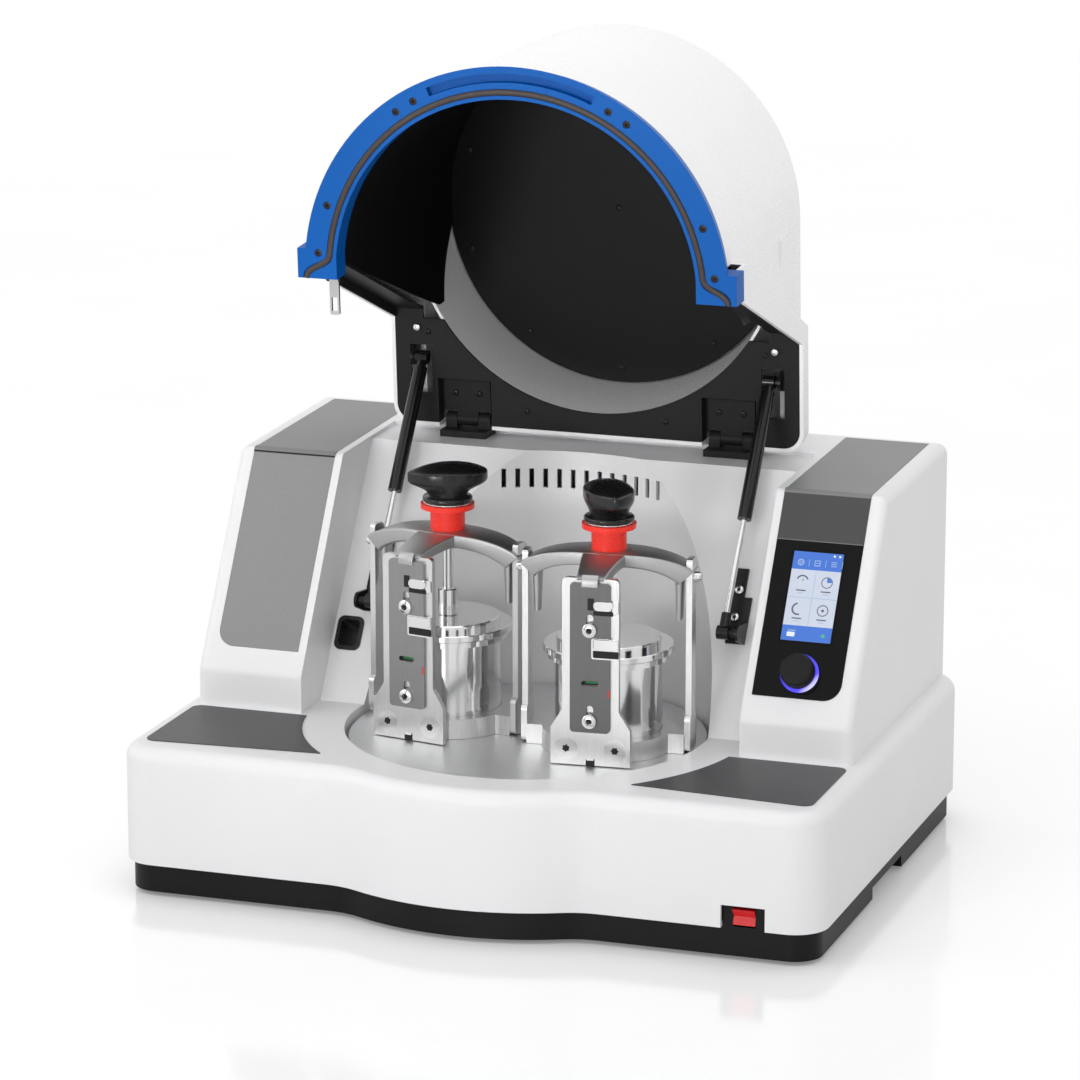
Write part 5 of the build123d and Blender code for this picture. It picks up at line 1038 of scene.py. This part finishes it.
for arc in (
    (gauge, 5.6, 1.5, 20, 140, 2, ink), (timer, 5.4, 0.9, 0, 360, 2, ink),
    (pause, 5.6, 1.7, 100, 190, 2, ink), (clock, 5.4, 1.0, 0, 360, 2, ink),
    ((-third, iconUp), 2.9, 1.0, 0, 360, 3, faint, 16),
    ((-third, iconUp), 1.2, 0.6, 0, 360, 3, faint, 12),
):
    arcBand(*arc)
onScreen(moved([(-0.5, 0), (0.5, 0), (1.8, 3.6)], gauge), 3, ink)  # needle
onScreen(moved([(0, 0)] + circlePoints(4.8, 10, 5, 90), timer), 3, blue)
onScreen(moved(circlePoints(1.5, 12), clock), 3, ink)
onScreen(moved(circlePoints(1.9, 16), (third, footerUp - 1)), 3, green)
screenMesh = finishMesh("litScreen", bm, podFace)
addPiece("litScreen", screenMesh, screenFinishes, "base")

lineShape = {"width": 87.0, "height": 0.7, "middle": 283.5, "low": 0.9, "high": 1.08}
bm = bmesh.new()
outline = roundedOutline(
    lineShape["width"], lineShape["height"], 0.2,
    centre=(lineShape["middle"], layout["fasciaLine"]),
)
addPrism(bm, outline, lineShape["low"], lineShape["high"])
lineMesh = finishMesh("fasciaLine", bm, podFace)
addPiece("fasciaLine", lineMesh, [look["panelGrey"]], "base")

encoder = {"radius": 17.0, "low": 5.85, "top": 19.8}
r, low, top = encoder["radius"], encoder["low"], encoder["top"]
encoderProfile = (
    (2.6, low), (r - 1.0, low), (r, low + 1.0), (r, top - 3.2), (r - 0.5, top - 1.6),
    (r - 1.6, top - 0.4), (r - 3.0, top), (r - 4.4, top - 0.35), (r * 0.45, top - 0.7),
    (0, top - 0.8),
)
bm = bmesh.new()
addLathe(bm, encoderProfile, 72, layout["encoder"])
encoderMesh = finishMesh("encoderKnob", bm, podFace)
addPiece(
    "encoderKnob", encoderMesh, [look["encoderBlack"]], "encoder_dial",
    ("encoder_knob",),
)
print("controls made")

# the camera stands where the photograph was taken from
photoView = {
    "azimuth": 20.603, "elevation": 14.161, "distance": 4.85765, "across": -0.11893,
    "up": 0.34678, "lens": 163.16, "aim": (0.02699, -0.00045),
}
turn = math.radians(photoView["azimuth"])
lift = math.radians(photoView["elevation"])
across = Vector((math.cos(turn), math.sin(turn), 0))
forward = Vector(
    (-math.sin(turn) * math.cos(lift), math.cos(turn) * math.cos(lift), -math.sin(lift))
)
upward = across.cross(forward)
eye = across * photoView["across"] + Vector((0, layout["driveBack"] * mm, photoView["up"]))
eye -= forward * photoView["distance"]
aim = forward + across * photoView["aim"][0] + upward * photoView["aim"][1]
cameraData = bpy.data.cameras.new("studioCamera")
cameraData.lens = photoView["lens"]
cameraData.sensor_width = 36
cameraData.clip_end = 60
camera = bpy.data.objects.new("studioCamera", cameraData)
camera.location = eye
camera.rotation_euler = aim.to_track_quat("-Z", "Y").to_euler()
scene.collection.objects.link(camera)
scene.camera = camera


def addBoard(name, corners, finish):
    data = bpy.data.meshes.new(name)
    data.from_pydata(corners, [], [range(len(corners))])
    data.materials.append(finish)
    board = bpy.data.objects.new(name, data)
    scene.collection.objects.link(board)
    return board


floorFinish = newFinish("paleFloor", (0.86, 0.86, 0.865), 0.12, specular=0.6)
floorNoise = noiseOver(floorFinish, 3.0)
varyColour(floorFinish, floorNoise, (0.85, 0.85, 0.855), (0.87, 0.87, 0.875))
varyRoughness(floorFinish, floorNoise, 0.1, 0.14)
floorSeen = addNode(floorFinish, "ShaderNodeLightPath")
floorLift = addNode(floorFinish, "ShaderNodeMath", operation="MULTIPLY")
floorLift.inputs[1].default_value = 0.16  # the floor fades into the background
floorGlow = shaderOf(floorFinish).inputs
join(floorFinish, floorSeen.outputs["Is Camera Ray"], floorLift.inputs[0])
join(floorFinish, floorLift.outputs["Value"], floorGlow["Emission Strength"])
floorGlow["Emission Color"].default_value = (1, 1, 1, 1)
floorLevel = -0.5 * mm
floorCorners = ((-9, -6), (9, -6), (9, 16), (-9, 16))
addBoard("paleFloor", [(x, y, floorLevel) for x, y in floorCorners], floorFinish)

# the world looks white, and lights the mill a little less than white would
world = bpy.data.worlds.new("studioWorld")
scene.world = world
world.use_nodes = True
tree = world.node_tree
background = tree.nodes["Background"]
background.inputs["Color"].default_value = (1, 1, 1, 1)
ray = tree.nodes.new("ShaderNodeLightPath")
seen = tree.nodes.new("ShaderNodeMath")
seen.operation = "ADD"
shown = tree.nodes.new("ShaderNodeMath")
shown.operation = "ADD"
shown.use_clamp = True
level = tree.nodes.new("ShaderNodeMapRange")
level.inputs["To Min"].default_value = 0.84
level.inputs["To Max"].default_value = 1.0
tree.links.new(ray.outputs["Is Camera Ray"], seen.inputs[0])
tree.links.new(ray.outputs["Is Glossy Ray"], seen.inputs[1])
tree.links.new(seen.outputs[0], shown.inputs[0])
tree.links.new(ray.outputs["Is Transmission Ray"], shown.inputs[1])
tree.links.new(shown.outputs[0], level.inputs["Value"])
tree.links.new(level.outputs["Result"], background.inputs["Strength"])

lamps = {  # where it stands, what it points at, its size in metres, watts and spread
    "topBox": ((0.0, -0.4, 2.6), (0, 0, 0.2), (2.0, 2.0), 7, 180),
    "leftBox": ((-2.3, -1.6, 1.7), (0, 0, 0.3), (1.0, 1.8), 8, 180),
    "frontBox": ((0.3, -3.0, 0.7), (0, 0, 0.5), (1.6, 0.8), 11, 180),
    "lidFill": ((-0.5, -2.2, 0.55), (0.03, 0.05, 0.66), (0.5, 0.5), 0.7, 40),
}
for name, (spot, target, size, power, spread) in lamps.items():
    data = bpy.data.lights.new(name, "AREA")
    data.shape = "RECTANGLE"
    data.size, data.size_y = size
    data.energy = power
    data.spread = math.radians(spread)
    light = bpy.data.objects.new(name, data)
    light.location = spot
    light.rotation_euler = (Vector(target) - light.location).to_track_quat("-Z", "Y").to_euler()
    scene.collection.objects.link(light)

# dark cards that only the metal sees, for the stripes on the jars
cardHeight = 1.8
cards = {  # where its middle stands, and its width
    "leftCard": ((-1.0, -1.75), 0.3), "nearCard": ((-0.25, -2.2), 0.16),
    "middleCard": ((0.6, -2.2), 0.34), "sideCard": ((1.3, -1.7), 0.2),
    "rightCard": ((1.8, -1.0), 0.5), "farCard": ((2.0, 0.4), 0.6),
}
for name, ((x, y), width) in cards.items():
    sideways = Vector((-y, x)).normalized() * width / 2
    near = (x - sideways.x, y - sideways.y)
    far = (x + sideways.x, y + sideways.y)
    corners = [(*near, 0), (*far, 0), (*far, cardHeight), (*near, cardHeight)]
    card = addBoard(name, corners, look["cardBlack"])
    card.visible_camera = False
    card.visible_diffuse = False
    card.visible_shadow = False

scene.view_settings.view_transform = "Standard"
print("studio lit")

for kind in (buttonHead, smallHead, domeHead, sunkHead):
    for shape in kind:
        bpy.data.objects.remove(shape)
